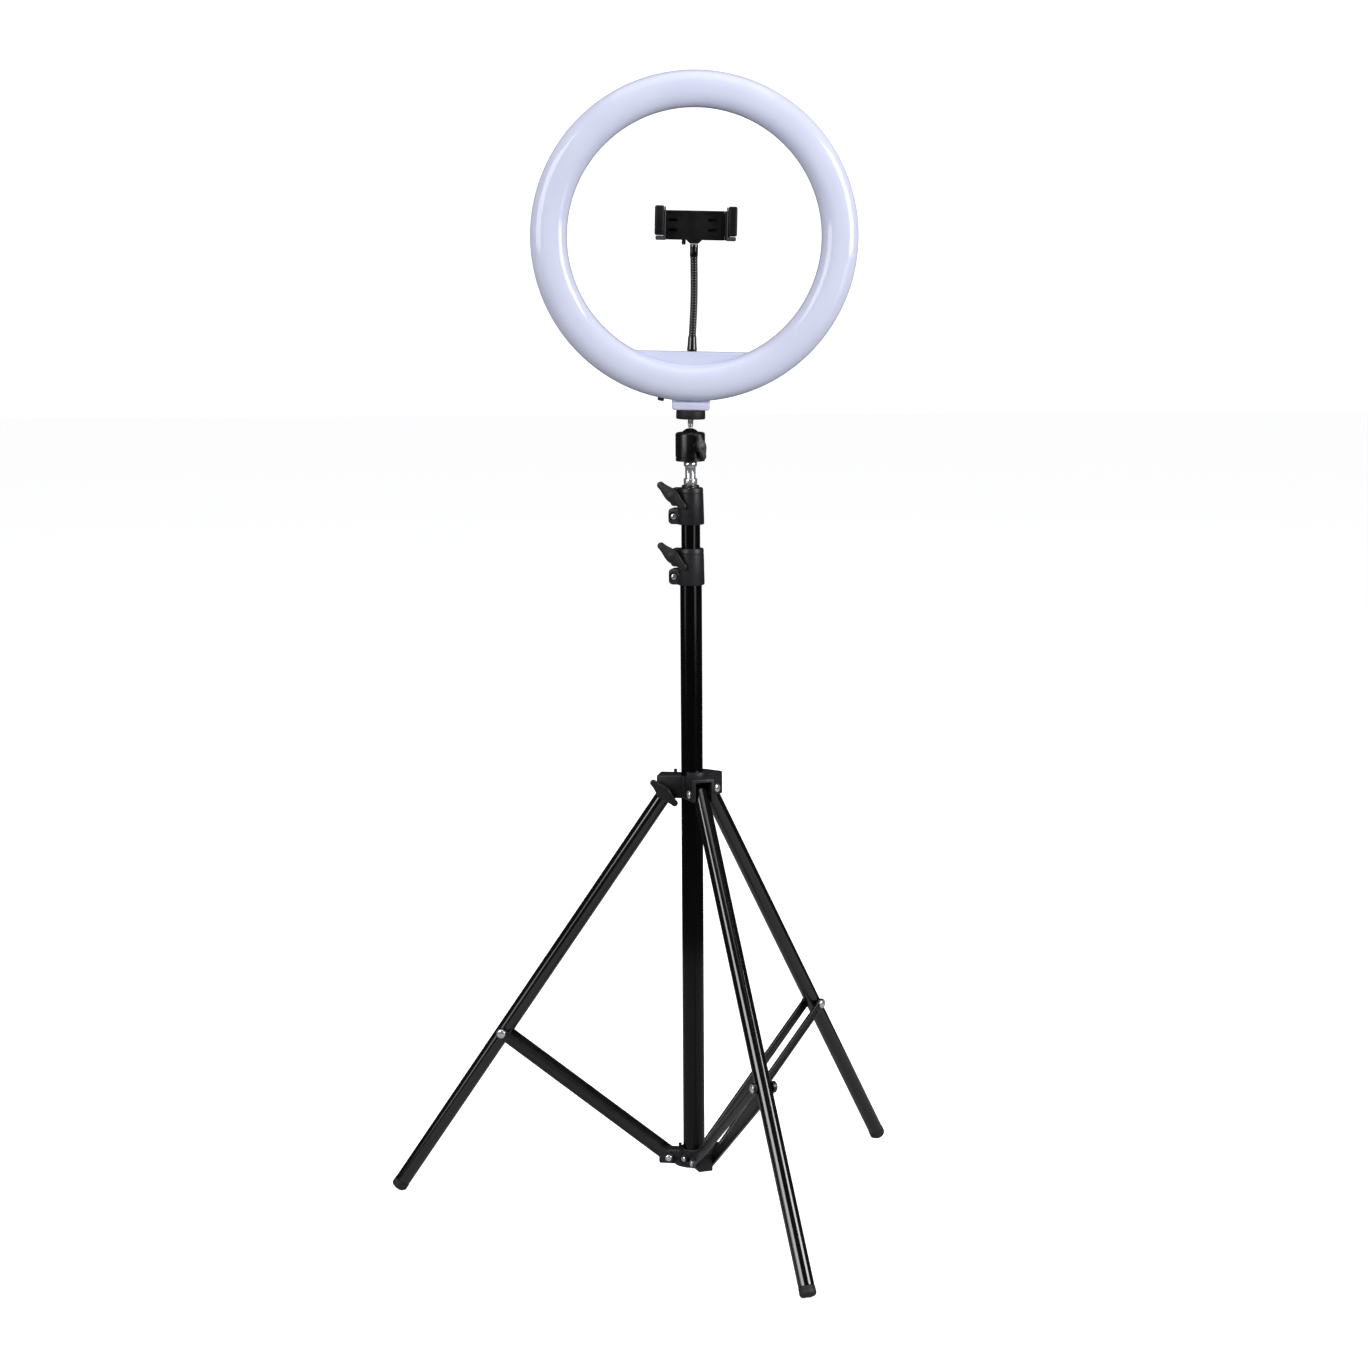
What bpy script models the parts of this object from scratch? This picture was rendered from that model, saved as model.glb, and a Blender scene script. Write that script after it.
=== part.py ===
"""Ring light on a folding light stand, with a ball head and a gooseneck phone holder.

Every dimension below is in millimetres; the helpers scale it to metres as they make each piece.
The stand's column is vertical (+Z), the light faces -Y, and X is to the light's right.
"""
import math

import bmesh
import bpy
from mathutils import Matrix, Vector

MM = 0.001
GAP = 0.3
STEPS = 24
RING_STEPS = 40
MERGE = 0.00001
SMOOTH_ANGLE = math.radians(35)

# Stand: where the legs point (degrees from -Y, towards +X) and how far they open
FRONT_LEG = 19.8
LEG_AZIMUTHS = {"left": FRONT_LEG - 120, "front": FRONT_LEG, "back": FRONT_LEG + 120}
LEG_OPEN = 34.0
LEG_PIVOT_R = 25.0
LEG_PIVOT_Z = 434.5
LEG_TO_STRUT = 313.0
LEG_LENGTH = 521.0
LEG_RADIUS = 8.0
LEG_WALL = 1.0
LEG_HEAD = 5.0
FOOT_LENGTH = 9.0
FOOT_RADIUS = 8.3
FOOT_ROUND = 3.0
FOOT_REACH = 321.0

# Strut linkage between the legs and the hub at the column's foot
STRUT_PIVOT_R = 24.5
STRUT_PIVOT_Z = 50.9
STRUT_WIDTH = 10.4
STRUT_INNER = 8.35
STRUT_THICK = 3.0
RIVET_HOLE = 2.3
RIVET_SHANK = 2.0
RIVET_HEAD = 3.4

# Telescoping column: outer radii, 1 mm walls
TUBE_WALL = 1.0
COLUMN_R = 11.0
MIDDLE_R = 9.5
TOP_R = 8.0
COLUMN_LOW = 46.7
COLUMN_TOP = 675.0
MIDDLE_LOW = 84.0
MIDDLE_TOP = 736.0
TOP_LOW = 112.0
TOP_TOP = 742.0
GUIDE_LIP = 9.7
GUIDE_PLUG = 12.0

# Clamping collars on the column and on the middle tube
COLUMN_COLLAR_Z = 644.1
MIDDLE_COLLAR_Z = 705.0
COLLAR_HEIGHT = 37.0
COLLAR_TURN = -15.0
LUG_DEPTH = 13.0
SLIT = 1.6
SCREW_X = -16.4
SCREW_UP = 8.1
KNOB_X = -15.0
KNOB_UP = 29.9
WING_TILT = -42.0

# Hubs
HUB_LOW = 427.5
HUB_TOP = 451.0
HUB_ARM = 34.5
HUB_HALF = 12.0
HUB_SLOT = 8.4
HUB_SLEEVE = 14.5
HUB_LIP_R = 17.2
HUB_LIP_TOP = 454.5
FOOT_HUB_LOW = 44.0
FOOT_HUB_TOP = 59.0
FOOT_HUB_ARM = 35.5
FOOT_HUB_HALF = 8.0
FOOT_HUB_R = 14.8
RUNNING_GAP = 0.3

# Ball head and the light on it; heights with _UP are above the ball's centre
BALL_Z = 791.0
BALL_R = 10.5
HEAD_ROLL = 1.45
HEAD_R = 14.85
HEAD_LOW = 768.5
HEAD_TOP = 797.5
SOCKET_R = 10.8
SHOE_R = 6.0
SHOE_FLOOR = 774.0
SHOE_HEIGHT = 5.2
HEAD_KNOB_Z = 784.0
HEAD_KNOB_AZIMUTH = 32.0
DISC_UP = 19.5
DISC_HEIGHT = 8.6
DISC_R = 14.6
NECK_UP = 28.4
RING_UP = 199.8

# Ring: radii from the ring's own axis, depths forward of the column's axis
RING_OUT = 162.5
RING_IN = 126.3
SEAM = 2.7
RING_FRONT = 17.0
RING_BACK = -9.0
SHELL = 1.8
BRIDGE_DOWN = 113.3
NECK_WIDTH = 38.0
GLAND_ANGLE = 10.6
GLAND_Y = 0.8

# Gooseneck and phone holder, measured from the ring's centre (Z up, Y back)
GOOSE_Y = 3.0
GOOSE_R = 3.7
GOOSE_JOINTS = (-97.2, -67.0, -37.0)
GOOSE_TOP = -7.3
GOOSE_GAP = 1.0
HOLDER_X = 1.4
HINGE_UP = 3.2
PLATE_BACK = -8.6
PLATE_THICK = 8.0
PLATE_LOW = -3.3
PLATE_TOP = 25.5
PLATE_LEFT = -31.2
PLATE_RIGHT = 28.3
JAW_WIDTH = 9.4
JAW_DEPTH = 20.0
JAW_LOW = 0.8
JAW_TOP = 30.0
TONGUE_LEFT = -8.0


def clear_scene():
    for obj in list(bpy.data.objects):
        bpy.data.objects.remove(obj, do_unlink=True)


def collection(name):
    group = bpy.data.collections.new(name)
    bpy.context.scene.collection.children.link(group)
    return group


clear_scene()
PARTS = collection("ring_light")
TOOLS = collection("cutters")


def material(name, colour, roughness, metallic=0.0):
    mat = bpy.data.materials.new(name)
    mat.use_nodes = True
    shader = mat.node_tree.nodes["Principled BSDF"]
    shader.inputs["Base Color"].default_value = (*colour, 1.0)
    shader.inputs["Roughness"].default_value = roughness
    shader.inputs["Metallic"].default_value = metallic
    return mat


FINISHES = {
    "paint": ((0.008, 0.008, 0.009), 0.22, 0.0),
    "plastic": ((0.022, 0.022, 0.024), 0.45, 0.0),
    "soft_grey": ((0.075, 0.073, 0.080), 0.60, 0.0),
    "rubber": ((0.012, 0.012, 0.012), 0.75, 0.0),
    "chrome": ((0.80, 0.81, 0.84), 0.10, 1.0),
    "steel": ((0.52, 0.53, 0.56), 0.30, 1.0),
    "shell": ((0.60, 0.63, 0.80), 0.30, 0.0),
    "diffuser": ((0.66, 0.69, 0.85), 0.25, 0.0),
    "board": ((0.75, 0.74, 0.66), 0.50, 0.0),
    "circuit": ((0.03, 0.20, 0.08), 0.50, 0.0),
}


def place(obj, finish, parent, location=(0, 0, 0), rotation=(0, 0, 0)):
    """Put a piece in its frame. A piece with no finish is a tool that cuts or joins others."""
    group = PARTS if finish else TOOLS
    group.objects.link(obj)
    obj.parent = parent
    obj.location = Vector(location) * MM
    obj.rotation_euler = [math.radians(angle) for angle in rotation]
    if finish:
        obj.data.materials.append(material(obj.name, *FINISHES[finish]))
    else:
        obj.hide_render = True
        obj.display_type = "WIRE"
    return obj


def frame(name, parent=None, location=(0, 0, 0), rotation=(0, 0, 0)):
    empty = bpy.data.objects.new(name, None)
    PARTS.objects.link(empty)
    empty.parent = parent
    empty.location = Vector(location) * MM
    empty.rotation_euler = [math.radians(angle) for angle in rotation]
    return empty


def shade(mesh):
    mesh.shade_smooth()
    mesh.set_sharp_from_angle(angle=SMOOTH_ANGLE)


def mesh_object(name, bm):
    mesh = bpy.data.meshes.new(name)
    bm.to_mesh(mesh)
    bm.free()
    shade(mesh)
    return bpy.data.objects.new(name, mesh)


def turned(name, profile, finish, parent, location=(0, 0, 0), rotation=(0, 0, 0), closed=False, steps=STEPS):
    """Turn a profile of (radius, height) points about Z. It runs down its outer side."""
    mesh = bpy.data.meshes.new(name)
    points = [(radius * MM, 0.0, height * MM) for radius, height in profile]
    edges = [(i, i + 1) for i in range(len(points) - 1)]
    if closed:
        edges.append((len(points) - 1, 0))
    mesh.from_pydata(points, edges, [])
    obj = bpy.data.objects.new(name, mesh)
    screw = obj.modifiers.new("turn", "SCREW")
    screw.steps = steps
    screw.render_steps = steps
    screw.use_merge_vertices = True
    screw.merge_threshold = MERGE
    screw.use_smooth_shade = True
    return place(obj, finish, parent, location, rotation)


def sleeve(name, outer, inner, low, high, finish, parent, **where):
    """A plain tube between two heights."""
    profile = [(inner, high), (outer, high), (outer, low), (inner, low)]
    return turned(name, profile, finish, parent, closed=True, **where)


def rod(name, radius, low, high, finish, parent, **where):
    """A plain round bar between two heights."""
    profile = [(0, high), (radius, high), (radius, low), (0, low)]
    return turned(name, profile, finish, parent, **where)


def block(name, low, high, finish, parent, rounding=0.0, **where):
    """A box between two corners, with rounded edges."""
    size = Vector(high) - Vector(low)
    centre = (Vector(high) + Vector(low)) / 2
    bm = bmesh.new()
    bmesh.ops.create_cube(bm, size=1.0)
    bmesh.ops.transform(bm, matrix=Matrix.Diagonal((*(size * MM), 1.0)), verts=bm.verts)
    bmesh.ops.translate(bm, vec=centre * MM, verts=bm.verts)
    obj = mesh_object(name, bm)
    if rounding:
        bevel = obj.modifiers.new("edges", "BEVEL")
        bevel.width = rounding * MM
        bevel.segments = 2
    return place(obj, finish, parent, **where)


def plate(name, outline, thickness, finish, parent, rounding=0.0, **where):
    """A flat outline in XY, given thickness about Z."""
    curve = bpy.data.curves.new(name, "CURVE")
    curve.dimensions = "2D"
    curve.fill_mode = "BOTH"
    curve.extrude = thickness / 2 * MM
    spline = curve.splines.new("POLY")
    spline.points.add(len(outline) - 1)
    for point, (x, y) in zip(spline.points, outline):
        point.co = (x * MM, y * MM, 0.0, 1.0)
    spline.use_cyclic_u = True
    source = bpy.data.objects.new(name + "_outline", curve)
    TOOLS.objects.link(source)
    bpy.context.view_layer.update()
    evaluated = source.evaluated_get(bpy.context.evaluated_depsgraph_get())
    bm = bmesh.new()
    solid = bpy.data.meshes.new_from_object(evaluated)
    bm.from_mesh(solid)
    bpy.data.meshes.remove(solid)
    bpy.data.objects.remove(source, do_unlink=True)
    bmesh.ops.remove_doubles(bm, verts=bm.verts, dist=MERGE)
    obj = mesh_object(name, bm)
    if rounding:
        bevel = obj.modifiers.new("edges", "BEVEL")
        bevel.width = rounding * MM
        bevel.segments = 1
        bevel.limit_method = "ANGLE"
        bevel.angle_limit = math.radians(60)
    return place(obj, finish, parent, **where)


def combine(target, tool, operation, solver):
    boolean = target.modifiers.new(tool.name, "BOOLEAN")
    boolean.operation = operation
    boolean.object = tool
    boolean.solver = solver


def join(target, tool):
    combine(target, tool, "UNION", "EXACT")


def cut(target, tool, solver="EXACT"):
    combine(target, tool, "DIFFERENCE", solver)


def arc(centre, radius, start, end, count):
    """Points on an arc, from one angle to another in degrees."""
    angles = [math.radians(start + (end - start) * i / count) for i in range(count + 1)]
    return [(centre[0] + radius * math.cos(a), centre[1] + radius * math.sin(a)) for a in angles]


def slot_outline(length, radius, count=6):
    """A bar outline along X with round ends centred on 0 and on length."""
    return arc((0, 0), radius, 90, 270, count) + arc((length, 0), radius, -90, 90, count)


def lug_outline(left, right, low, high, radius, count=4):
    """An outline whose two left corners are rounded."""
    upper = arc((left + radius, high - radius), radius, 90, 180, count)
    lower = arc((left + radius, low + radius), radius, 180, 270, count)
    return upper + lower + [(right, low), (right, high)]


def wing_outline(half_length, half_width, tip, count=4):
    """A two-winged handle: wide over its screw, narrowing to round tips."""
    side = []
    for i in range(-count, count + 1):
        t = i / count
        swell = (0.5 + 0.5 * math.cos(math.pi * t)) ** 1.4
        side.append(((half_length - tip) * t, tip + (half_width - tip) * swell))
    other = [(-x, -y) for x, y in side]
    right = arc((half_length - tip, 0), tip, 45, -45, 2)
    left = arc((tip - half_length, 0), tip, 225, 135, 2)
    return side + right + other + left


def wing_knob(name, parent, location, rotation, size, stand_off, stud, tilt, bore=None):
    """A wing knob. Its screw lies along Z with the wings on top; size is half length, half width,
    tip radius, thickness and boss radius; stud is radius and length below the face it stands on."""
    half_length, half_width, tip, thick, boss = size
    stud_radius, stud_length = stud
    top = stand_off + thick * 0.8
    neck = boss * 0.58
    profile = [(0, top), (boss * 0.8, top), (boss, top - 1), (boss, stand_off), (neck, stand_off * 0.5)]
    profile.append((neck, GAP))
    if stud_length:
        profile += [(stud_radius, GAP), (stud_radius, -stud_length)]
        profile.append((0, -stud_length))
    else:
        profile.append((0, GAP))
    knob = turned(name, profile, "plastic", parent, location, rotation, steps=16)
    wings = plate(name + "_wings", wing_outline(half_length, half_width, tip), thick, None, knob,
                  location=(0, 0, stand_off + thick / 2), rotation=(0, 0, tilt))
    join(knob, wings)
    if bore:
        cut(knob, rod(name + "_bore", bore[0], -1.0, bore[1], None, knob, steps=16))
    return knob


def clamp_screw(name, parent, location, rotation, head, shank, length):
    """A domed screw along Z: its head's seat at 0 and its shank below."""
    height = head * 0.5
    dome = [(0, height), (head * 0.6, height * 0.85), (head * 0.92, height * 0.45), (head, 0)]
    profile = dome + [(shank, 0), (shank, -length), (0, -length)]
    return turned(name, profile, "chrome", parent, location, rotation, steps=16)


def guide(name, tube_radius, bore_radius, low, parent):
    """A guide bush: a lip that runs in the outer tube, on a plug pushed into the inner one."""
    lip_radius = bore_radius - 0.2
    plug_radius = tube_radius - TUBE_WALL - 0.2
    top = low + GAP + GUIDE_PLUG
    profile = [(0, top), (plug_radius, top), (plug_radius, low), (lip_radius, low)]
    profile += [(lip_radius, low - GUIDE_LIP), (0, low - GUIDE_LIP)]
    return turned(name, profile, "plastic", parent)


def collar(name, low, tube_radius, inner_radius, outer, lower_lug, upper_lug, parent):
    """A split collar: clamped round one tube by a screw, and onto the tube inside it by a knob."""
    top = low + COLLAR_HEIGHT
    seat = top - 5.7
    outer_top, outer_low = outer
    profile = [(0, top), (outer_top - 0.8, top), (outer_top, top - 0.8), (outer_low, low + 0.9)]
    profile += [(outer_low - 0.5, low), (0, low)]
    body = turned(name, profile, "plastic", parent, rotation=(0, 0, COLLAR_TURN))
    stand_up = {"rotation": (90, 0, 0)}
    inside = -tube_radius + 1.0
    lower = lug_outline(-lower_lug, inside, low + GAP, low + 16.4, 3.0)
    upper = lug_outline(-upper_lug, inside, low + 18.5, top - 0.2, 3.0)
    join(body, plate(name + "_lower_lug", lower, LUG_DEPTH, None, body, **stand_up))
    join(body, plate(name + "_upper_lug", upper, LUG_DEPTH - 1.0, None, body, **stand_up))
    cut(body, rod(name + "_seat", tube_radius + GAP, low - 3, seat, None, body))
    cut(body, rod(name + "_bore", inner_radius + GAP, seat - 3, top + 3, None, body))
    slit_low = (-lower_lug - 2, -SLIT / 2, low - 2)
    cut(body, block(name + "_slit", slit_low, (-tube_radius + 2, SLIT / 2, top + 2), None, body))
    screw = (SCREW_X, 0, low + SCREW_UP)
    knob = (KNOB_X, 0, low + KNOB_UP)
    half = LUG_DEPTH / 2
    for tag, spot, radius, span in (("stud", knob, 2.8, (-half - 1, half + 1)),
                                    ("screw", screw, 2.3, (-half - 1, half + 1)),
                                    ("recess", screw, 4.4, (half - 2.5, half + 2))):
        hole = rod(f"{name}_{tag}_hole", radius, *span, None, body, location=spot, rotation=(90, 0, 0),
                   steps=20)
        cut(body, hole, "MANIFOLD")
    return body


def clamped_collar(name, low, tube_radius, inner_radius, outer, lugs, parent):
    body = collar(name, low, tube_radius, inner_radius, outer, *lugs, parent)
    turn = frame(name + "_frame", parent, rotation=(0, 0, COLLAR_TURN))
    half = LUG_DEPTH / 2
    clamp_screw(name + "_screw", turn, (SCREW_X, -half + 2.2, low + SCREW_UP), (90, 0, 0), 3.5, 2.0, 9.5)
    wing_knob(name + "_knob", turn, (KNOB_X, -half + 0.5, low + KNOB_UP), (90, 0, 0),
              (19.0, 6.6, 3.0, 5.0, 5.6), 7.8, (2.4, 11.8), WING_TILT)
    return body


# ---------------------------------------------------------------- frames
def foot_box_centre():
    """The middle of the three feet's box, seen from the column."""
    spots = [(math.sin(math.radians(a)), -math.cos(math.radians(a))) for a in LEG_AZIMUTHS.values()]
    sides = []
    for axis in (0, 1):
        reach = [spot[axis] * FOOT_REACH for spot in spots]
        sides.append((min(reach) + max(reach)) / 2)
    return sides


CENTRE_X, CENTRE_Y = foot_box_centre()
STAND = frame("stand", location=(-CENTRE_X, -CENTRE_Y, 0))
ARMS = {}
for leg_name, azimuth in LEG_AZIMUTHS.items():
    ARMS[leg_name] = frame("arm_" + leg_name, STAND, rotation=(0, 0, azimuth - 90))
HEAD = frame("head", STAND, (0, 0, BALL_Z), (0, HEAD_ROLL, 0))
RING = frame("ring_centre", HEAD, (0, 0, RING_UP))
RING_AXIS = frame("ring_axis", RING, rotation=(90, 0, 0))
HOLDER = frame("holder_centre", RING, (HOLDER_X, GOOSE_Y, 0))


# ---------------------------------------------------------------- column
def column():
    sleeve("column_tube", COLUMN_R, COLUMN_R - TUBE_WALL, COLUMN_LOW, COLUMN_TOP, "paint", STAND)
    sleeve("middle_tube", MIDDLE_R, MIDDLE_R - TUBE_WALL, MIDDLE_LOW, MIDDLE_TOP, "paint", STAND)
    sleeve("top_tube", TOP_R, TOP_R - TUBE_WALL, TOP_LOW, TOP_TOP, "paint", STAND)
    guide("middle_guide", MIDDLE_R, COLUMN_R - TUBE_WALL, MIDDLE_LOW - GAP, STAND)
    guide("top_guide", TOP_R, MIDDLE_R - TUBE_WALL, TOP_LOW - GAP, STAND)
    clamped_collar("column_collar", COLUMN_COLLAR_Z, COLUMN_R, MIDDLE_R, (13.0, 13.8), (21.6, 19.5), STAND)
    clamped_collar("middle_collar", MIDDLE_COLLAR_Z, MIDDLE_R, TOP_R, (12.7, 13.7), (21.6, 19.5), STAND)


def spigot():
    """The cap on the top tube and the grooved chrome spigot through it."""
    sleeve("tube_cap", 8.8, 5.6, TOP_TOP + GAP, 744.6, "plastic", STAND)
    profile = [(0, 773.6), (3.1, 773.6), (3.1, 767.9), (6.1, 767.9), (6.65, 767.4), (6.65, 763.6)]
    profile += [(5.25, 762.6), (5.25, 751.6), (6.4, 751.2), (6.95, 750.2), (6.95, 746.5), (6.3, 744.9)]
    profile += [(5.25, 744.9)]
    profile += [(5.25, TOP_TOP - 0.1), (6.7, TOP_TOP - 0.1), (6.7, 716.0), (0, 716.0)]
    turned("spigot", profile, "chrome", STAND, steps=20)


# ---------------------------------------------------------------- hubs
def bolt_hole(target, tag, parent, radius, height, reach, half):
    hole = rod(f"{tag}_hole", radius, -half, half, None, parent, location=(reach, 0, height),
               rotation=(90, 0, 0), steps=20)
    cut(target, hole)


def leg_hub():
    """The sliding hub: a sleeve on the column with three clevis arms, open below and outwards."""
    hub = sleeve("leg_hub", HUB_SLEEVE, COLUMN_R - 2, HUB_LOW + 0.5, HUB_TOP - 0.5, "plastic", STAND)
    lip = sleeve("leg_hub_lip", HUB_LIP_R, COLUMN_R - 2, HUB_TOP - 2, HUB_LIP_TOP, None, STAND)
    cut(lip, block("leg_hub_lip_gap", (-20, -20, HUB_TOP - 3), (-5, 20, HUB_LIP_TOP + 3), None, STAND))
    join(hub, lip)
    for name, arm in ARMS.items():
        outer = block(f"hub_{name}_arm", (8, -HUB_HALF, HUB_LOW), (HUB_ARM, HUB_HALF, HUB_TOP), None, arm,
                      rounding=1.2)
        join(hub, outer)
    stop = block("leg_hub_tab", (15.5, -1.5, HUB_TOP - 1.5), (18.5, 1.5, HUB_TOP + 5), None, ARMS["left"])
    join(hub, stop)
    for name, arm in ARMS.items():
        slot_low = (HUB_SLEEVE + 0.4, -HUB_SLOT, HUB_LOW - 5)
        cut(hub, block(f"hub_{name}_slot", slot_low, (HUB_ARM + 5, HUB_SLOT, HUB_TOP - 3.5), None, arm))
        bolt_hole(hub, f"hub_{name}", arm, 2.8, LEG_PIVOT_Z, LEG_PIVOT_R, HUB_HALF + 3)
    bore = rod("leg_hub_bore", COLUMN_R + RUNNING_GAP, HUB_LOW - 8, HUB_LIP_TOP + 8, None, STAND)
    cut(hub, bore)


def leg_bolt(name, arm, near_end):
    """A leg's pivot bolt, domed at both ends, or running on into the knob on one side."""
    dome = HUB_HALF + GAP
    head = 4.2
    far = [(0, -dome - 2.0), (2.4, -dome - 1.8), (head * 0.9, -dome - 0.9), (head, -dome), (2.5, -dome)]
    near = [(0, near_end), (2.5, near_end)] if near_end else [(radius, -z) for radius, z in far]
    profile = near + list(reversed(far))
    turned(name, profile, "chrome", arm, (LEG_PIVOT_R, 0, LEG_PIVOT_Z), (-90, 0, 0), steps=16)


def leg_hub_fittings():
    for name, arm in ARMS.items():
        leg_bolt(f"leg_bolt_{name}", arm, HUB_HALF + 5.0 if name == "left" else 0)
    wing_knob("leg_hub_knob", ARMS["left"], (LEG_PIVOT_R, HUB_HALF, LEG_PIVOT_Z), (-90, 0, 0),
              (19.0, 6.6, 3.0, 5.0, 5.6), 7.0, (2.4, 0), 137.0, bore=(2.8, 5.6))


def strut_hub():
    """The fixed hub: a cup under the column with three arms that the struts straddle."""
    hub = rod("strut_hub", FOOT_HUB_R, FOOT_HUB_LOW + 0.2, 61.0, "plastic", STAND)
    join(hub, rod("strut_hub_web", 20.5, FOOT_HUB_LOW, FOOT_HUB_LOW + 6, None, STAND))
    for name, arm in ARMS.items():
        low = (8, -FOOT_HUB_HALF, FOOT_HUB_LOW - 0.2)
        high = (FOOT_HUB_ARM, FOOT_HUB_HALF, FOOT_HUB_TOP)
        join(hub, block(f"strut_hub_{name}_arm", low, high, None, arm, rounding=1.5))
    tab_low = (13.0, -1.5, FOOT_HUB_TOP - 4)
    join(hub, block("strut_hub_tab", tab_low, (16.0, 1.5, FOOT_HUB_TOP + 5.5), None, ARMS["left"]))
    clamp = frame("strut_hub_clamp", STAND, (0, 0, 51.2), (90, 0, FRONT_LEG - 60))
    join(hub, rod("strut_hub_boss", 5.2, 12.5, 18.0, None, clamp, steps=20))
    cut(hub, rod("strut_hub_bore", COLUMN_R + GAP, COLUMN_LOW - GAP, 75.0, None, STAND))
    for name, arm in ARMS.items():
        bolt_hole(hub, f"strut_hub_{name}", arm, RIVET_HOLE, STRUT_PIVOT_Z, STRUT_PIVOT_R,
                  FOOT_HUB_HALF + 3)
    cut(hub, rod("strut_hub_clamp_hole", 2.3, 9.0, 20.0, None, clamp, steps=20))
    cut(hub, rod("strut_hub_recess", 3.8, 16.2, 21.0, None, clamp, steps=20))
    clamp_screw("strut_hub_screw", clamp, (0, 0, 16.5), (0, 0, 0), 3.3, 2.0, 5.0)


def strut_rivet(name, arm):
    """A rivet through two struts and the hub arm between them, domed at both ends."""
    seat = STRUT_INNER + STRUT_THICK + GAP
    dome = [(0, seat + 1.6), (RIVET_HEAD * 0.6, seat + 1.4), (RIVET_HEAD * 0.93, seat + 0.7)]
    dome += [(RIVET_HEAD, seat), (RIVET_SHANK, seat)]
    other = [(radius, -height) for radius, height in reversed(dome)]
    turned(name, dome + other, "chrome", arm, (STRUT_PIVOT_R, 0, STRUT_PIVOT_Z), (90, 0, 0), steps=16)


# ---------------------------------------------------------------- legs and struts
def strut_run():
    """How far out and up a strut runs from its hub pivot to its leg pivot."""
    angle = math.radians(LEG_OPEN)
    out = LEG_PIVOT_R + LEG_TO_STRUT * math.sin(angle) - STRUT_PIVOT_R
    up = LEG_PIVOT_Z - LEG_TO_STRUT * math.cos(angle) - STRUT_PIVOT_Z
    return out, up


def leg(name, arm, floor):
    hinge = frame(f"leg_{name}_hinge", arm, (LEG_PIVOT_R, 0, LEG_PIVOT_Z), (0, -LEG_OPEN, 0))
    cap_top = FOOT_LENGTH - LEG_LENGTH
    tube = sleeve(f"leg_tube_{name}", LEG_RADIUS, LEG_RADIUS - LEG_WALL, cap_top + GAP, LEG_HEAD, "paint",
                  hinge)
    cut(tube, rod(f"leg_{name}_hole", 2.8, -12, 12, None, hinge, rotation=(90, 0, 0), steps=20))
    plug = LEG_RADIUS - LEG_WALL - GAP
    centre = (FOOT_RADIUS - FOOT_ROUND, FOOT_ROUND - LEG_LENGTH)
    profile = [(0, cap_top + 15), (plug - 0.6, cap_top + 15), (plug, cap_top + 14), (plug, cap_top)]
    profile += [(FOOT_RADIUS - 0.4, cap_top), (FOOT_RADIUS, cap_top - 0.6)]
    profile += arc(centre, FOOT_ROUND, 0, -90, 4) + [(0, -LEG_LENGTH)]
    foot = turned(f"leg_foot_{name}", profile, "rubber", hinge, steps=20)
    cut(foot, floor)


def struts(name, arm):
    out, up = strut_run()
    length = math.hypot(out, up)
    rise = math.degrees(math.atan2(up, out))
    hinge = frame(f"strut_{name}_hinge", arm, (STRUT_PIVOT_R, 0, STRUT_PIVOT_Z), (0, -rise, 0))
    middle = STRUT_INNER + STRUT_THICK / 2
    face = STRUT_THICK / 2
    for side, sign in (("a", -1), ("b", 1)):
        outline = slot_outline(length, STRUT_WIDTH / 2)
        bar = plate(f"strut_{name}_{side}", outline, STRUT_THICK, "paint", hinge, rounding=0.6,
                    location=(0, sign * middle, 0), rotation=(90 * -sign, 0, 0))
        spot = (length, 0, 0)
        cut(bar, rod(f"{bar.name}_hole", RIVET_HOLE, -4, 4, None, bar, steps=16))
        groove = slot_outline(length - 26, 2.4, 2)
        cut(bar, plate(f"{bar.name}_groove", groove, 1.6, None, bar, location=(13, 0, face)))
        washer = [(0, face + 2.4), (2.8, face + 2.2), (4.6, face + 1.2), (5.6, face + 0.4)]
        washer += [(5.6, -face + 0.4), (0, -face + 0.4)]
        join(bar, turned(f"{bar.name}_rivet", washer, None, bar, spot, steps=16))


# ---------------------------------------------------------------- ball head
def ball_head():
    rim = math.sqrt(SOCKET_R ** 2 - (HEAD_TOP - BALL_Z) ** 2)
    start = math.degrees(math.atan2(HEAD_TOP - BALL_Z, rim))
    end = -math.degrees(math.acos(SHOE_R / SOCKET_R))
    socket = arc((0, BALL_Z), SOCKET_R, end, start, 7)
    floor = [(3.4, HEAD_LOW), (3.4, SHOE_FLOOR), (SHOE_R, SHOE_FLOOR)]
    outside = [(HEAD_R - 2.4, HEAD_TOP), (HEAD_R - 0.7, HEAD_TOP - 0.7), (HEAD_R, HEAD_TOP - 2.4)]
    outside += [(HEAD_R, HEAD_LOW + 4.2), (HEAD_R - 0.6, HEAD_LOW + 3.6), (HEAD_R - 0.6, HEAD_LOW)]
    body = turned("ball_head_body", floor + socket + outside, "plastic", STAND, closed=True, steps=32)
    turn = frame("ball_head_turn", STAND, (0, 0, HEAD_KNOB_Z), (90, 0, HEAD_KNOB_AZIMUTH))
    boss = rod("ball_head_boss", 5.2, 12.6, 16.2, None, turn, steps=24)
    join(body, boss)
    cut(body, rod("ball_head_knob_hole", 2.3, 8.0, 20.0, None, turn, steps=20))
    wing_knob("ball_head_knob", turn, (0, 0, 16.2), (0, 0, 0), (13.2, 5.4, 2.6, 4.2, 4.4), 2.2, (2.0, 5.9),
              105.0)
    shoe_low = SHOE_FLOOR + GAP
    rod("pressure_shoe", SHOE_R - GAP, shoe_low, shoe_low + SHOE_HEIGHT, "plastic", STAND)


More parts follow.
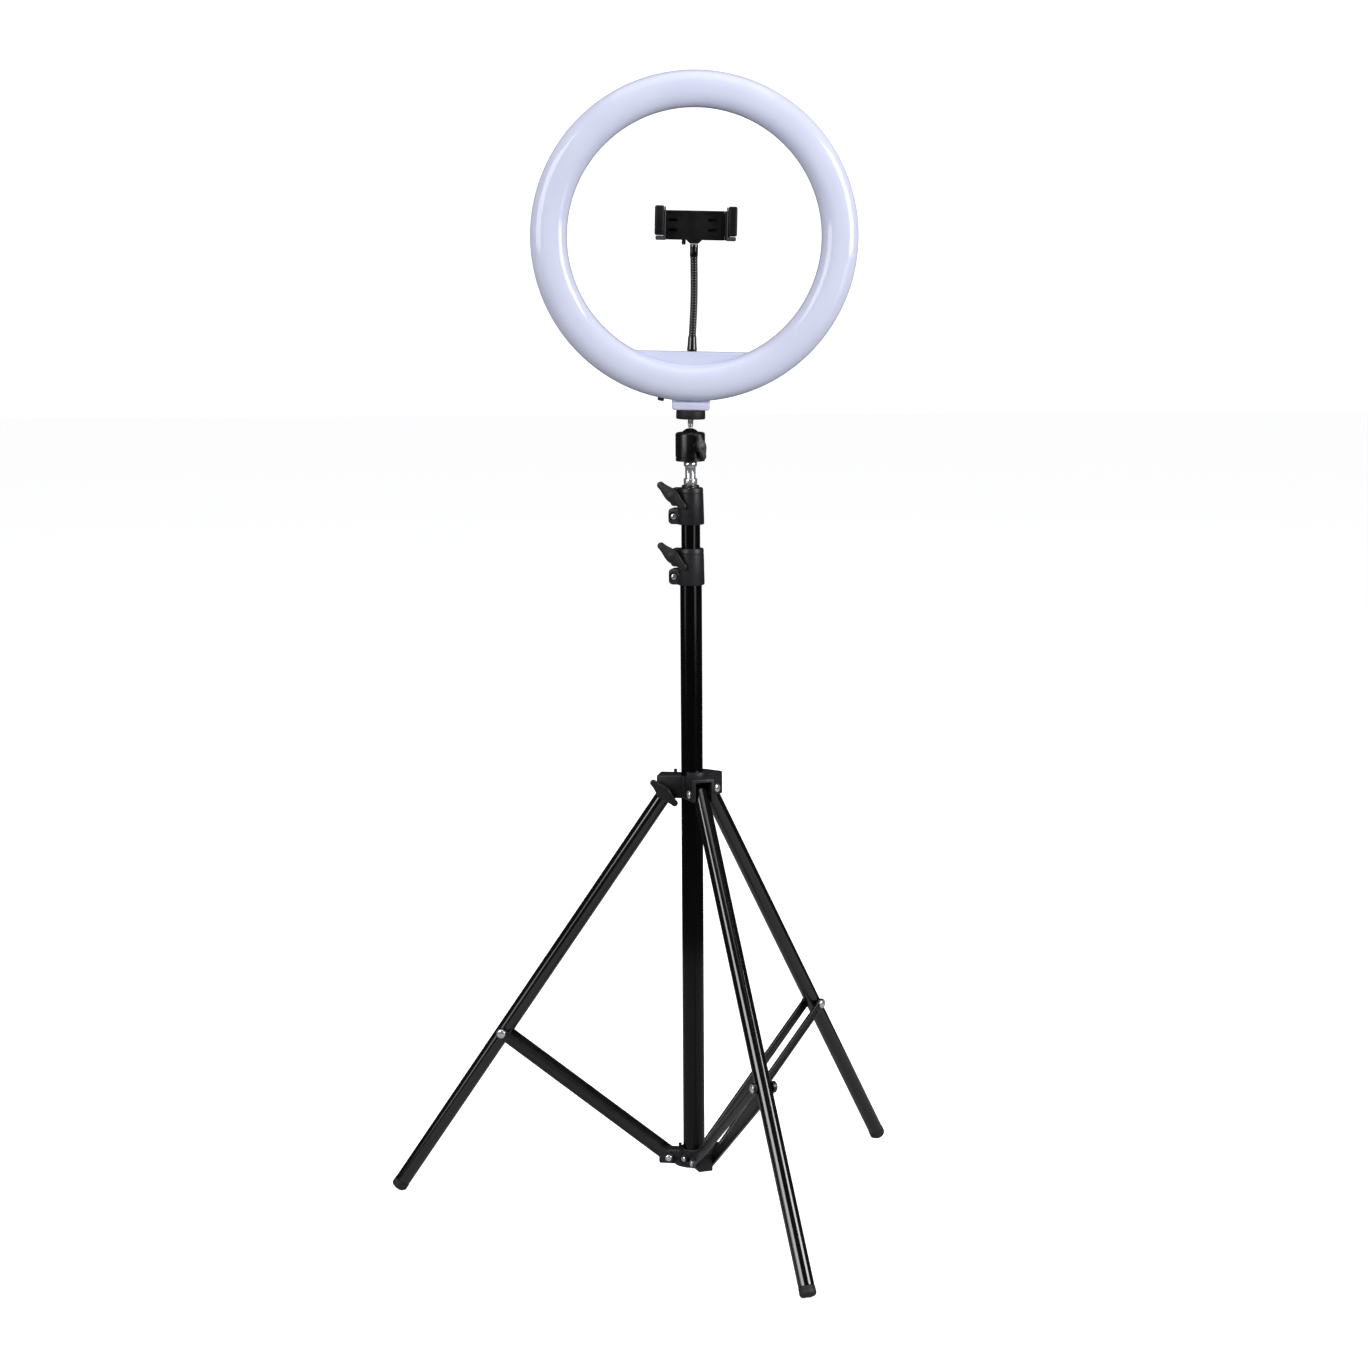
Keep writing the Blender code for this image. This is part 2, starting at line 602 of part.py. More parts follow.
def ball_and_stud():
    bm = bmesh.new()
    bmesh.ops.create_uvsphere(bm, u_segments=24, v_segments=14, radius=BALL_R * MM)
    place(mesh_object("ball", bm), "plastic", HEAD)
    start = BALL_R + 0.4
    profile = [(0, 36.0), (3.1, 36.0), (3.1, DISC_UP - 0.5), (2.75, DISC_UP - 1), (2.75, start + 2.1)]
    profile += [(2.1, start + 1.3), (2.1, start), (0, start)]
    turned("ball_stud", profile, "chrome", HEAD)
    sleeve("platform_disc", DISC_R, 3.4, DISC_UP, DISC_UP + DISC_HEIGHT, "rubber", HEAD, steps=40)


# ---------------------------------------------------------------- ring
def dome(inset, count):
    """The diffuser's rounded front, from its inner rim over to its outer rim."""
    middle = (RING_OUT + RING_IN) / 2
    half = (RING_OUT - RING_IN) / 2 - inset
    base = SEAM + GAP
    points = []
    for i in range(count + 1):
        angle = math.pi * (1 - i / count)
        across = math.copysign(abs(math.cos(angle)) ** 0.86, math.cos(angle))
        rise = math.sin(angle) ** 0.86
        points.append((middle + half * across, base + (RING_FRONT - base - inset) * rise))
    return points


def front_diffuser():
    profile = dome(0.0, 10) + list(reversed(dome(1.6, 6)))
    turned("front_diffuser", profile, "diffuser", RING_AXIS, closed=True, steps=RING_STEPS)


def rear_housing():
    """The back shell: a round tray, the bridge across the hole's foot, and the neck below."""
    back = RING_BACK
    inner = SHELL + 0.2
    profile = [(RING_OUT, SEAM), (RING_OUT, back + 4), (RING_OUT - 1.4, back + 1.2), (RING_OUT - 4.5, back)]
    profile += [(RING_IN + 4.5, back), (RING_IN + 1.4, back + 1.2), (RING_IN, back + 4), (RING_IN, SEAM)]
    profile += [(RING_IN + inner, SEAM), (RING_IN + inner, back + 4.5), (RING_IN + 5.2, back + SHELL)]
    profile += [(RING_OUT - 5.2, back + SHELL), (RING_OUT - inner, back + 4.5), (RING_OUT - inner, SEAM)]
    housing = turned("rear_housing", profile, "shell", RING_AXIS, closed=True, steps=RING_STEPS)
    radius = RING_IN + 1.0
    half = math.degrees(math.acos(BRIDGE_DOWN / radius))
    segment = arc((0, 0), radius, -90 - half, -90 + half, 16)
    depth = SEAM - back - 0.6
    join(housing, plate("bridge", segment, depth, None, RING_AXIS, location=(0, 0, (SEAM + back) / 2)))
    neck_low = NECK_UP - RING_UP
    low = (-NECK_WIDTH / 2, neck_low, back - 2)
    join(housing, block("neck", low, (NECK_WIDTH / 2, 1.7 - RING_OUT, SEAM - GAP), None, RING_AXIS,
                        rounding=2.5))
    low = (-NECK_WIDTH / 2, neck_low, back - 2)
    join(housing, block("neck_foot", low, (NECK_WIDTH / 2, -0.8 - RING_OUT, 9.0), None, RING_AXIS,
                        rounding=2.5))
    cut(housing, rod("stud_hole", 3.4, NECK_UP - 2, 36.5, None, HEAD, steps=24))
    cut(housing, rod("ferrule_hole", 3.3, -BRIDGE_DOWN - 9, -BRIDGE_DOWN + 4, None, RING,
                     location=(0, GOOSE_Y, 0), steps=24))
    cut(housing, rod("gland_hole", 2.9, RING_OUT - 5, RING_OUT + 4, None, GLAND, steps=20))


def ring_inside():
    closed = {"closed": True, "steps": RING_STEPS}
    outline = [(130.0, 2.1), (158.5, 2.1), (158.5, 0.5), (130.0, 0.5)]
    turned("led_board", outline, "board", RING_AXIS, **closed)
    board = block("driver_board", (-23, -152, -4.4), (23, -137, -2.8), "circuit", RING_AXIS)
    join(board, block("inductor", (-18, -149, -3.6), (-8, -140, -0.6), None, RING_AXIS))
    join(board, block("capacitor", (6, -148, -3.6), (14, -142, -0.8), None, RING_AXIS))
    wall = RING_OUT - SHELL - 0.2
    profile = [(1.5, RING_OUT + 3.0), (2.8, RING_OUT + 3.0), (3.3, RING_OUT + 2.4), (3.3, RING_OUT + GAP)]
    profile += [(2.6, RING_OUT + GAP), (2.6, wall - 0.5), (3.2, wall - 0.5), (3.2, wall - 1.5)]
    profile += [(1.5, wall - 1.5)]
    turned("power_gland", profile, "rubber", GLAND, closed=True, steps=24)


GLAND = frame("gland_frame", RING, (0, GLAND_Y, 0), (0, 180 + GLAND_ANGLE, 0))


# ---------------------------------------------------------------- gooseneck
def gooseneck():
    base = frame("gooseneck_axis", RING, (0, GOOSE_Y, 0))
    first, second, third = GOOSE_JOINTS
    foot = -BRIDGE_DOWN + GAP
    profile = [(0, first - GOOSE_GAP), (4.0, first - GOOSE_GAP), (4.2, first - GOOSE_GAP - 1)]
    profile += [(4.95, foot + 2.5), (4.6, foot), (3.0, foot), (3.0, foot - 8.0), (0, foot - 8.0)]
    turned("gooseneck_ferrule", profile, "paint", base)
    spans = (("lower", first, second), ("middle", second, third))
    for name, low, high in spans:
        rod(f"gooseneck_{name}", GOOSE_R, low + GOOSE_GAP, high - GOOSE_GAP, "paint", base, steps=24)
    profile = [(0, GOOSE_TOP), (4.0, GOOSE_TOP), (4.0, GOOSE_TOP - 12.5), (GOOSE_R, GOOSE_TOP - 13)]
    profile += [(GOOSE_R, third + GOOSE_GAP), (0, third + GOOSE_GAP)]
    turned("gooseneck_upper", profile, "paint", base, steps=24)


# ---------------------------------------------------------------- phone holder
def holder_swivel():
    swivel_frame = frame("swivel_frame", RING, (0, GOOSE_Y, 0))
    profile = [(0, -2.3), (7.0, -2.3), (7.6, -2.8), (7.6, -3.8), (3.9, GOOSE_TOP + GAP)]
    profile += [(0, GOOSE_TOP + GAP)]
    swivel = turned("holder_swivel", profile, "plastic", swivel_frame)
    knuckle = {"location": (0, 0, HINGE_UP), "rotation": (0, 90, 0)}
    join(swivel, rod("knuckle", 5.0, -3.9, 3.9, None, swivel_frame, steps=24, **knuckle))
    join(swivel, rod("knuckle_neck", 3.4, -5.0, HINGE_UP, None, swivel_frame, steps=24))
    cut(swivel, rod("knuckle_hole", 2.2, -8, 8, None, swivel_frame, steps=16, **knuckle))
    wing_knob("holder_knob", swivel_frame, (-7.5, 0, HINGE_UP), (0, -90, 0), (11.3, 3.8, 2.2, 4.0, 3.4), 0.8,
              (1.9, 14.6), 0.0)


def holder_frame():
    """The fixed half: a hollow back plate, its left jaw, and two hinge ears behind."""
    front = PLATE_BACK - PLATE_THICK - GOOSE_Y
    back = PLATE_BACK - GOOSE_Y
    body = block("holder_frame", (PLATE_LEFT - 1, front, PLATE_LOW), (PLATE_RIGHT, back, PLATE_TOP), "plastic",
                 HOLDER, rounding=0.9)
    jaw_low = (PLATE_LEFT - JAW_WIDTH, back - JAW_DEPTH, JAW_LOW)
    join(body, block("left_jaw", jaw_low, (PLATE_LEFT, back, JAW_TOP), None, HOLDER, rounding=1.6))
    for side, sign in (("left", -1), ("right", 1)):
        inner = sign * 4.2 - HOLDER_X
        outer = sign * 7.4 - HOLDER_X
        where = {"location": (0, 0, HINGE_UP), "rotation": (0, 90, 0)}
        ear = rod(f"ear_{side}", 5.2, min(inner, outer), max(inner, outer), None, HOLDER, steps=24, **where)
        web = block(f"ear_web_{side}", (min(inner, outer), back - 1, HINGE_UP - 1.5),
                    (max(inner, outer), 0, HINGE_UP + 5.0), None, HOLDER)
        join(body, ear)
        join(body, web)
    cavity_low = (PLATE_LEFT + 3.5, front + 1.8, JAW_LOW - 0.5)
    cut(body, block("cavity", cavity_low, (PLATE_RIGHT + 9, back - 2.0, 22.5), None, HOLDER))
    for column_x in (-26.5, 13.2):
        for row_z in (6.4, 16.2):
            outline = slot_outline(6.6, 1.4, 6)
            cut(body, plate("slot", outline, 5.0, None, HOLDER, location=(column_x, front, row_z),
                            rotation=(90, 0, 0)))
    cut(body, rod("ear_hole", 2.2, -12, 12, None, HOLDER, location=(0, 0, HINGE_UP), rotation=(0, 90, 0),
                  steps=16))


def sliding_jaw():
    front = PLATE_BACK - PLATE_THICK - GOOSE_Y
    back = PLATE_BACK - GOOSE_Y
    left = PLATE_RIGHT + GAP
    jaw_left = PLATE_RIGHT + 3.5
    jaw = block("sliding_jaw", (jaw_left, back - JAW_DEPTH, JAW_LOW), (jaw_left + JAW_WIDTH - 0.6, back, JAW_TOP),
                "plastic", HOLDER, rounding=1.6)
    join(jaw, block("end_plate", (left, front, PLATE_LOW), (jaw_left + 2, back, PLATE_TOP), None, HOLDER,
                    rounding=0.9))
    join(jaw, block("tongue", (TONGUE_LEFT, front + 2.1, JAW_LOW), (jaw_left + 1, back - 2.3, 22.2), None,
                    HOLDER))


def jaw_pad(name, inner, outer, sign):
    """A soft lining on a jaw's inner face, with a foot under the jaw. sign points into the gap."""
    front = PLATE_BACK - GOOSE_Y - JAW_DEPTH + 0.6
    back = PLATE_BACK - PLATE_THICK - GOOSE_Y - GAP
    lining = sorted((inner + sign * GAP, inner + sign * 1.5))
    foot = sorted((outer, inner + sign * 1.5))
    pad = block(name, (lining[0], front, PLATE_LOW - 0.5), (lining[1], back, JAW_TOP - 1), "soft_grey", HOLDER)
    join(pad, block(name + "_foot", (foot[0], front, PLATE_LOW - 0.5), (foot[1], back, JAW_LOW - GAP), None,
                    HOLDER, rounding=0.8))


def jaw_spring():
    """The coil that pulls the sliding jaw in, along X inside the back plate."""
    turns = 6
    per_turn = 8
    low, high = PLATE_LEFT + 4.5, TONGUE_LEFT - 1.0
    centre = (PLATE_BACK - PLATE_THICK / 2 - GOOSE_Y, (PLATE_LOW + PLATE_TOP) / 2)
    curve = bpy.data.curves.new("jaw_spring", "CURVE")
    curve.dimensions = "3D"
    curve.bevel_depth = 0.3 * MM
    curve.bevel_resolution = 1
    curve.use_fill_caps = True
    spline = curve.splines.new("POLY")
    spline.points.add(turns * per_turn)
    for i, point in enumerate(spline.points):
        angle = 2 * math.pi * i / per_turn
        along = low + (high - low) * i / (turns * per_turn)
        coil = (centre[0] + 1.4 * math.cos(angle), centre[1] + 1.4 * math.sin(angle))
        point.co = (along * MM, coil[0] * MM, coil[1] * MM, 1.0)
    place(bpy.data.objects.new("jaw_spring", curve), "steel", HOLDER)


column()
spigot()
leg_hub()
leg_hub_fittings()
strut_hub()
FLOOR = block("floor_cut", (-500, -500, -40), (500, 500, 0), None, None)
for leg_name, leg_arm in ARMS.items():
    strut_rivet(f"strut_rivet_{leg_name}", leg_arm)
    leg(leg_name, leg_arm, FLOOR)
    struts(leg_name, leg_arm)
ball_head()
ball_and_stud()
front_diffuser()
rear_housing()
ring_inside()
gooseneck()
holder_swivel()
holder_frame()
sliding_jaw()
LEFT_FACE = PLATE_LEFT
RIGHT_FACE = PLATE_RIGHT + 3.5
jaw_pad("jaw_pad_left", LEFT_FACE, LEFT_FACE - JAW_WIDTH + 1, 1)
jaw_pad("jaw_pad_right", RIGHT_FACE, RIGHT_FACE + JAW_WIDTH - 1.6, -1)
jaw_spring()
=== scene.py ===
"""Looks for the ring light on its folding stand: pieces, materials, floor, lights and camera.

Lengths are in millimetres until piece() scales them to metres.
"""

import math

import bmesh
import bpy
from mathutils import Matrix, Vector


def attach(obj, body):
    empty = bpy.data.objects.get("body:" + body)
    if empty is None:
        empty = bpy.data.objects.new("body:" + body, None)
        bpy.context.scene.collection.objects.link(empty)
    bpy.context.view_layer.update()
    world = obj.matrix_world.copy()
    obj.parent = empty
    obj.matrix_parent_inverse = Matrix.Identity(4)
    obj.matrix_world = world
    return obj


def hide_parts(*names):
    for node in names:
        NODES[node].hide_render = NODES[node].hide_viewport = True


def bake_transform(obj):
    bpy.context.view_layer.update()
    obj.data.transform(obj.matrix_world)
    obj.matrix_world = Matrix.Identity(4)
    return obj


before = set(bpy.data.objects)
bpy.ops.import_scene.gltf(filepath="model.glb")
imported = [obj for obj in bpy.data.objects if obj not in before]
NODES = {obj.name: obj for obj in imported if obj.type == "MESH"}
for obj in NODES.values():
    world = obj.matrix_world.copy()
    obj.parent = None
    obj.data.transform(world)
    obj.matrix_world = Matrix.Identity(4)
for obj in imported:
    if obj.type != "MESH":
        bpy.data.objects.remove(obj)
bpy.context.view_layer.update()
MM = 0.001

# The column's foot, and each leg's azimuth: degrees anticlockwise from the front (-Y), seen from above.
STAND_X, STAND_Y = 54.3674, 28.4221
LEGS = {"left": -100.2, "front": 19.8, "back": 139.8}
COLUMN_RADIUS, MIDDLE_RADIUS, TOP_RADIUS = 11, 9.5, 8
LEG_RADIUS = 8
WALL = 1
SLIDING_FIT = 0.3

# A leg hangs from the sliding hub, and its struts turn on rivets in the fixed hub below.
HINGE_OUT, HINGE_UP = 25, 434.5
RIVET_OUT, RIVET_UP = 24.5, 50.9
LEG_TO_STRUTS = 313
LEG_LEAN = 34

BALL_UP, HEAD_LEAN = 791.0, 1.45
RING_UP = 199.8
RING_OUTER, RING_INNER = 162.5, 126.3
RING_MIDDLE = (RING_OUTER + RING_INNER) / 2
HOUSING_SCREWS = 8


def at(x=0.0, y=0.0, z=0.0, rx=0.0, ry=0.0, rz=0.0):
    """A place: turned about X, then Y, then Z (degrees), then moved."""
    turn = (Matrix.Rotation(math.radians(rz), 4, "Z") @ Matrix.Rotation(math.radians(ry), 4, "Y")
            @ Matrix.Rotation(math.radians(rx), 4, "X"))
    return Matrix.Translation((x, y, z)) @ turn


# An arm's X axis runs out along its leg. The holder and the hose stand a little behind the ring's plane.
STAND = at(STAND_X, STAND_Y)
ARMS = {name: STAND @ at(rz=azimuth - 90) for name, azimuth in LEGS.items()}
HEAD = STAND @ at(z=BALL_UP, ry=HEAD_LEAN)
RING = HEAD @ at(z=RING_UP)
RING_AXIS = RING @ at(rx=90)
HOLDER = RING @ at(1.4, 3.0, 0)
GLAND = RING @ at(y=0.8, ry=190.6)
COLLAR = STAND @ at(rz=-15)
GOOSE = RING @ at(y=3.0)


# ------------------------------------------------------------------ mesh code
def lathe(profile, steps=64, closed=False):
    """A bmesh turned about Z from (radius, height) points that run down the outer side."""
    bm = bmesh.new()
    rings = []
    for radius, height in profile:
        if radius < 1e-6:
            rings.append([bm.verts.new((0, 0, height))])
            continue
        spots = [2 * math.pi * i / steps for i in range(steps)]
        rings.append([bm.verts.new((radius * math.cos(a), radius * math.sin(a), height)) for a in spots])
    pairs = list(zip(rings, rings[1:]))
    if closed:
        pairs.append((rings[-1], rings[0]))
    for upper, lower in pairs:
        for i in range(steps):
            j = (i + 1) % steps
            corners = [upper[i % len(upper)], lower[i % len(lower)],
                       lower[j % len(lower)], upper[j % len(upper)]]
            face = [v for n, v in enumerate(corners) if v not in corners[:n]]
            if len(face) > 2:
                bm.faces.new(face)
    return bm


def edged(bm, width, segments, angle=30):
    """Rounds the edges where faces meet at more than an angle."""
    if width:
        bm.normal_update()
        limit = math.radians(angle)
        sharp = [e for e in bm.edges if len(e.link_faces) == 2 and e.calc_face_angle(0) > limit]
        bmesh.ops.bevel(bm, geom=sharp, offset=width, segments=segments, profile=0.5, affect="EDGES",
                        clamp_overlap=True)
    return bm


def brick(low, high, width=0.0, segments=3):
    """A box between two corners, with rounded edges."""
    bm = bmesh.new()
    bmesh.ops.create_cube(bm, size=1.0)
    low, high = Vector(low), Vector(high)
    bmesh.ops.transform(bm, matrix=Matrix.Diagonal((*(high - low), 1.0)), verts=bm.verts)
    bmesh.ops.translate(bm, vec=(high + low) / 2, verts=bm.verts)
    return edged(bm, width, segments)


def slab(outline, low, high, width=0.0, segments=3):
    """A flat outline in XY between two heights, with rounded rims."""
    bm = bmesh.new()
    bottom = [bm.verts.new((x, y, low)) for x, y in outline]
    top = [bm.verts.new((x, y, high)) for x, y in outline]
    bm.faces.new(list(reversed(bottom)))
    bm.faces.new(top)
    for i in range(len(outline)):
        j = (i + 1) % len(outline)
        bm.faces.new((bottom[i], bottom[j], top[j], top[i]))
    bmesh.ops.recalc_face_normals(bm, faces=bm.faces)
    return edged(bm, width, segments, 50)


def moved(bm, matrix):
    bmesh.ops.transform(bm, matrix=matrix, verts=bm.verts)
    return bm


def together(*parts):
    """One bmesh holding several."""
    whole = parts[0]
    for part in parts[1:]:
        mesh = bpy.data.meshes.new("part")
        part.to_mesh(mesh)
        part.free()
        whole.from_mesh(mesh)
        bpy.data.meshes.remove(mesh)
    return whole


def carve(bm, *tools, operation="DIFFERENCE"):
    """Cuts tools out of a bmesh, or joins them to it."""
    made = []
    for shape in (bm, *tools):
        mesh = bpy.data.meshes.new("carve")
        shape.to_mesh(mesh)
        shape.free()
        obj = bpy.data.objects.new("carve", mesh)
        bpy.context.scene.collection.objects.link(obj)
        made.append(obj)
    for tool in made[1:]:
        boolean = made[0].modifiers.new("carve", "BOOLEAN")
        boolean.operation = operation
        boolean.object = tool
        boolean.solver = "EXACT"
    bpy.context.view_layer.update()
    graph = bpy.context.evaluated_depsgraph_get()
    result = bpy.data.meshes.new_from_object(made[0].evaluated_get(graph))
    whole = bmesh.new()
    whole.from_mesh(result)
    bpy.data.meshes.remove(result)
    for obj in made:
        mesh = obj.data
        bpy.data.objects.remove(obj)
        bpy.data.meshes.remove(mesh)
    return whole


def piece(name, bm, place, finish, body=None, stands_for=(), smooth=35, grounded=False):
    """A bmesh in millimetres becomes an object in metres. With no body, it is left unattached.

    A grounded piece has whatever reaches below the floor pressed flat on it.
    """
    bmesh.ops.recalc_face_normals(bm, faces=bm.faces)
    mesh = bpy.data.meshes.new(name)
    bmesh.ops.scale(bm, vec=(MM, MM, MM), verts=bm.verts)
    location, rotation, _ = place.decompose()
    world = Matrix.Translation(location * MM) @ rotation.to_matrix().to_4x4()
    if grounded:
        back = world.inverted()
        for vert in bm.verts:
            spot = world @ vert.co
            if spot.z < 0:
                spot.z = 0
                vert.co = back @ spot
    bm.to_mesh(mesh)
    bm.free()
    mesh.shade_smooth()
    mesh.set_sharp_from_angle(angle=math.radians(smooth))
    mesh.materials.append(finish)
    obj = bpy.data.objects.new(name, mesh)
    bpy.context.scene.collection.objects.link(obj)
    obj.matrix_world = world
    if stands_for:
        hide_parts(*stands_for)
    if body:
        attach(obj, body)
    return obj


def arc(centre, radius, start, end, count):
    """Points of an arc between two angles in degrees."""
    angles = [math.radians(start + (end - start) * i / count) for i in range(count + 1)]
    return [(centre[0] + radius * math.cos(a), centre[1] + radius * math.sin(a)) for a in angles]


def rounded(left, right, low, high, radii, count=6):
    """A rectangle with its own corner radii: top left, bottom left, bottom right, top right."""
    tl, bl, br, tr = radii
    points = arc((left + tl, high - tl), tl, 90, 180, count) if tl else [(left, high)]
    points += arc((left + bl, low + bl), bl, 180, 270, count) if bl else [(left, low)]
    points += arc((right - br, low + br), br, 270, 360, count) if br else [(right, low)]
    points += arc((right - tr, high - tr), tr, 0, 90, count) if tr else [(right, high)]
    return points


def bar_outline(length, radius, count=14):
    """A bar with round ends, from its first end's centre."""
    return arc((0, 0), radius, 90, 270, count) + arc((length, 0), radius, -90, 90, count)


def rod(radius, low, high, steps=48, chamfer=0.0):
    """A solid cylinder between two heights."""
    profile = [(0, high), (radius - chamfer, high)]
    if chamfer:
        profile += [(radius, high - chamfer), (radius, low + chamfer)]
    profile += [(radius - chamfer, low), (0, low)]
    return lathe(profile, steps)


def tube(outer, low, high):
    """A thin-walled tube with its outer rims just broken."""
    inner = outer - WALL
    rim = 0.3
    profile = [(inner, high), (outer - rim, high), (outer, high - rim), (outer, low + rim)]
    profile += [(outer - rim, low), (inner, low)]
    return lathe(profile, 96, closed=True)


# ------------------------------------------------------------------ materials
def finish(name, dark, light, rough, spread=0.06, metallic=0.0, grain=1800.0, bump=0.15, depth=0.00003,
           stretch=(1, 1, 1), cloud=60.0, coat=0.0, coat_rough=0.1, subsurface=0.0, specular=0.5):
    """Two close colours in soft clouds, roughness that varies, and a fine grain in the normal."""
    mat = bpy.data.materials.new(name)
    mat.use_nodes = True
    nodes, links = mat.node_tree.nodes, mat.node_tree.links
    shader = nodes["Principled BSDF"]
    spot = nodes.new("ShaderNodeTexCoord")
    scaled = nodes.new("ShaderNodeMapping")
    scaled.inputs["Scale"].default_value = stretch
    links.new(spot.outputs["Object"], scaled.inputs["Vector"])
    clouds = nodes.new("ShaderNodeTexNoise")
    clouds.inputs["Scale"].default_value = cloud
    clouds.inputs["Detail"].default_value = 5
    fine = nodes.new("ShaderNodeTexNoise")
    fine.inputs["Scale"].default_value = grain
    fine.inputs["Detail"].default_value = 3
    for texture in (clouds, fine):
        links.new(scaled.outputs["Vector"], texture.inputs["Vector"])
    tint = nodes.new("ShaderNodeValToRGB")
    tint.color_ramp.elements[0].position = 0.35
    tint.color_ramp.elements[0].color = (*dark, 1)
    tint.color_ramp.elements[1].position = 0.65
    tint.color_ramp.elements[1].color = (*light, 1)
    links.new(clouds.outputs["Fac"], tint.inputs["Fac"])
    links.new(tint.outputs["Color"], shader.inputs["Base Color"])
    mixed = nodes.new("ShaderNodeMath")
    mixed.operation = "ADD"
    links.new(clouds.outputs["Fac"], mixed.inputs[0])
    links.new(fine.outputs["Fac"], mixed.inputs[1])
    span = nodes.new("ShaderNodeMapRange")
    span.inputs["From Min"].default_value = 0.7
    span.inputs["From Max"].default_value = 1.3
    span.inputs["To Min"].default_value = max(0.02, rough - spread)
    span.inputs["To Max"].default_value = rough + spread
    links.new(mixed.outputs["Value"], span.inputs["Value"])
    links.new(span.outputs["Result"], shader.inputs["Roughness"])
    relief = nodes.new("ShaderNodeBump")
    relief.inputs["Strength"].default_value = bump
    relief.inputs["Distance"].default_value = depth
    links.new(fine.outputs["Fac"], relief.inputs["Height"])
    links.new(relief.outputs["Normal"], shader.inputs["Normal"])
    shader.inputs["Metallic"].default_value = metallic
    shader.inputs["Coat Weight"].default_value = coat
    shader.inputs["Coat Roughness"].default_value = coat_rough
    shader.inputs["Subsurface Weight"].default_value = subsurface
    shader.inputs["Subsurface Radius"].default_value = (0.004, 0.004, 0.005)
    shader.inputs["Specular IOR Level"].default_value = specular
    return mat


LEG_PAINT = finish("gloss_leg_paint", (0.0010, 0.0010, 0.0011), (0.0019, 0.0018, 0.0021), 0.12, 0.03,
                   grain=900, bump=0.05, stretch=(1, 1, 0.25), specular=0.95)
PAINT = finish("gloss_black_paint", (0.0010, 0.0010, 0.0011), (0.0019, 0.0018, 0.0021), 0.13, 0.03,
               grain=900, bump=0.06, stretch=(1, 1, 0.25), specular=0.32)
# The struts' base is several times lighter than the tubes' black: partly a satin finish, partly painted sheen
# that stands in for the left softbox's reflection on their flat faces.
BAR_PAINT_AND_SHEEN = finish("strut_black_paint_and_painted_sheen", (0.0040, 0.0038, 0.0044), (0.0062, 0.0060, 0.0068), 0.30, 0.05,
                   grain=1100, bump=0.10, specular=0.7)
CLAMP = finish("satin_clamp_plastic", (0.0105, 0.010, 0.0115), (0.017, 0.0163, 0.0187), 0.40, 0.06,
               grain=2600, bump=0.35, depth=0.00004, specular=0.38)
KNOB = finish("satin_knob_plastic", (0.012, 0.012, 0.013), (0.019, 0.019, 0.021), 0.34, 0.06,
              grain=2400, bump=0.30, depth=0.00004, specular=0.38)
HEAD_BLACK = finish("satin_head_black", (0.004, 0.004, 0.0045), (0.008, 0.008, 0.009), 0.25, 0.05,
                    grain=2200, bump=0.16, specular=0.34)
BALL_BLACK = finish("polished_ball_black", (0.005, 0.005, 0.006), (0.008, 0.008, 0.009), 0.13, 0.03,
                    coat=0.5, coat_rough=0.06, bump=0.05)
DISC = finish("matte_disc_rubber", (0.008, 0.008, 0.009), (0.014, 0.014, 0.015), 0.60, 0.08,
              grain=3000, bump=0.5, depth=0.00005, specular=0.3)
FOOT = finish("foot_rubber", (0.010, 0.010, 0.010), (0.019, 0.019, 0.019), 0.62, 0.08,
              grain=1600, bump=0.5, depth=0.00006)
INNER = finish("inner_moulding", (0.03, 0.03, 0.03), (0.05, 0.05, 0.05), 0.5, 0.06, bump=0.2)
CHROME = finish("polished_chrome", (0.74, 0.75, 0.78), (0.84, 0.85, 0.88), 0.12, 0.03,
                metallic=0.8, grain=1400, bump=0.02, stretch=(1, 1, 0.3))
STEEL = finish("spring_wire", (0.45, 0.46, 0.48), (0.56, 0.57, 0.60), 0.30, 0.06, metallic=1.0)
SHELL = finish("lavender_shell", (0.585, 0.610, 0.780), (0.615, 0.640, 0.805), 0.22, 0.03,
               grain=2200, bump=0.08, cloud=25, subsurface=0.08)
DIFFUSER = finish("lavender_diffuser", (0.630, 0.660, 0.825), (0.655, 0.685, 0.850), 0.09, 0.015,
                  bump=0.02, cloud=18, subsurface=0.12, specular=0.42)
BOARD = finish("printed_board", (0.68, 0.67, 0.60), (0.78, 0.77, 0.70), 0.5, 0.06)
CIRCUIT = finish("circuit_board", (0.02, 0.15, 0.06), (0.04, 0.24, 0.09), 0.45, 0.06)
NECK_COAT = finish("gooseneck_coat", (0.0012, 0.0012, 0.0014), (0.0026, 0.0026, 0.003), 0.10, 0.03,
                   grain=2600, bump=0.04, specular=0.95)
HOLDER_BLACK = finish("holder_plastic", (0.004, 0.004, 0.0045), (0.008, 0.008, 0.009), 0.44, 0.07,
                      grain=2200, bump=0.45, depth=0.00004, specular=0.2)
PAD = finish("jaw_pad_rubber", (0.024, 0.023, 0.027), (0.040, 0.038, 0.044), 0.62, 0.07,
             grain=2600, bump=0.4)


def recoat(node, mat):
    """A hidden node keeps its own mesh and takes a material."""
    mesh = NODES[node].data
    mesh.materials.clear()
    mesh.materials.append(mat)


for node in ("middle_guide", "top_guide", "pressure_shoe"):
    recoat(node, INNER)
recoat("led_board", BOARD)
recoat("driver_board", CIRCUIT)
recoat("jaw_spring", STEEL)


# ------------------------------------------------------------------ screws and knobs
def dome_profile(radius, height, seat=0.0, count=6):
    """A shallow dome down to its seat."""
    angles = [math.pi / 2 * i / count for i in range(count)]
    return [(radius * math.sin(a), seat + height * math.cos(a) ** 0.8) for a in angles] + [(radius, seat)]


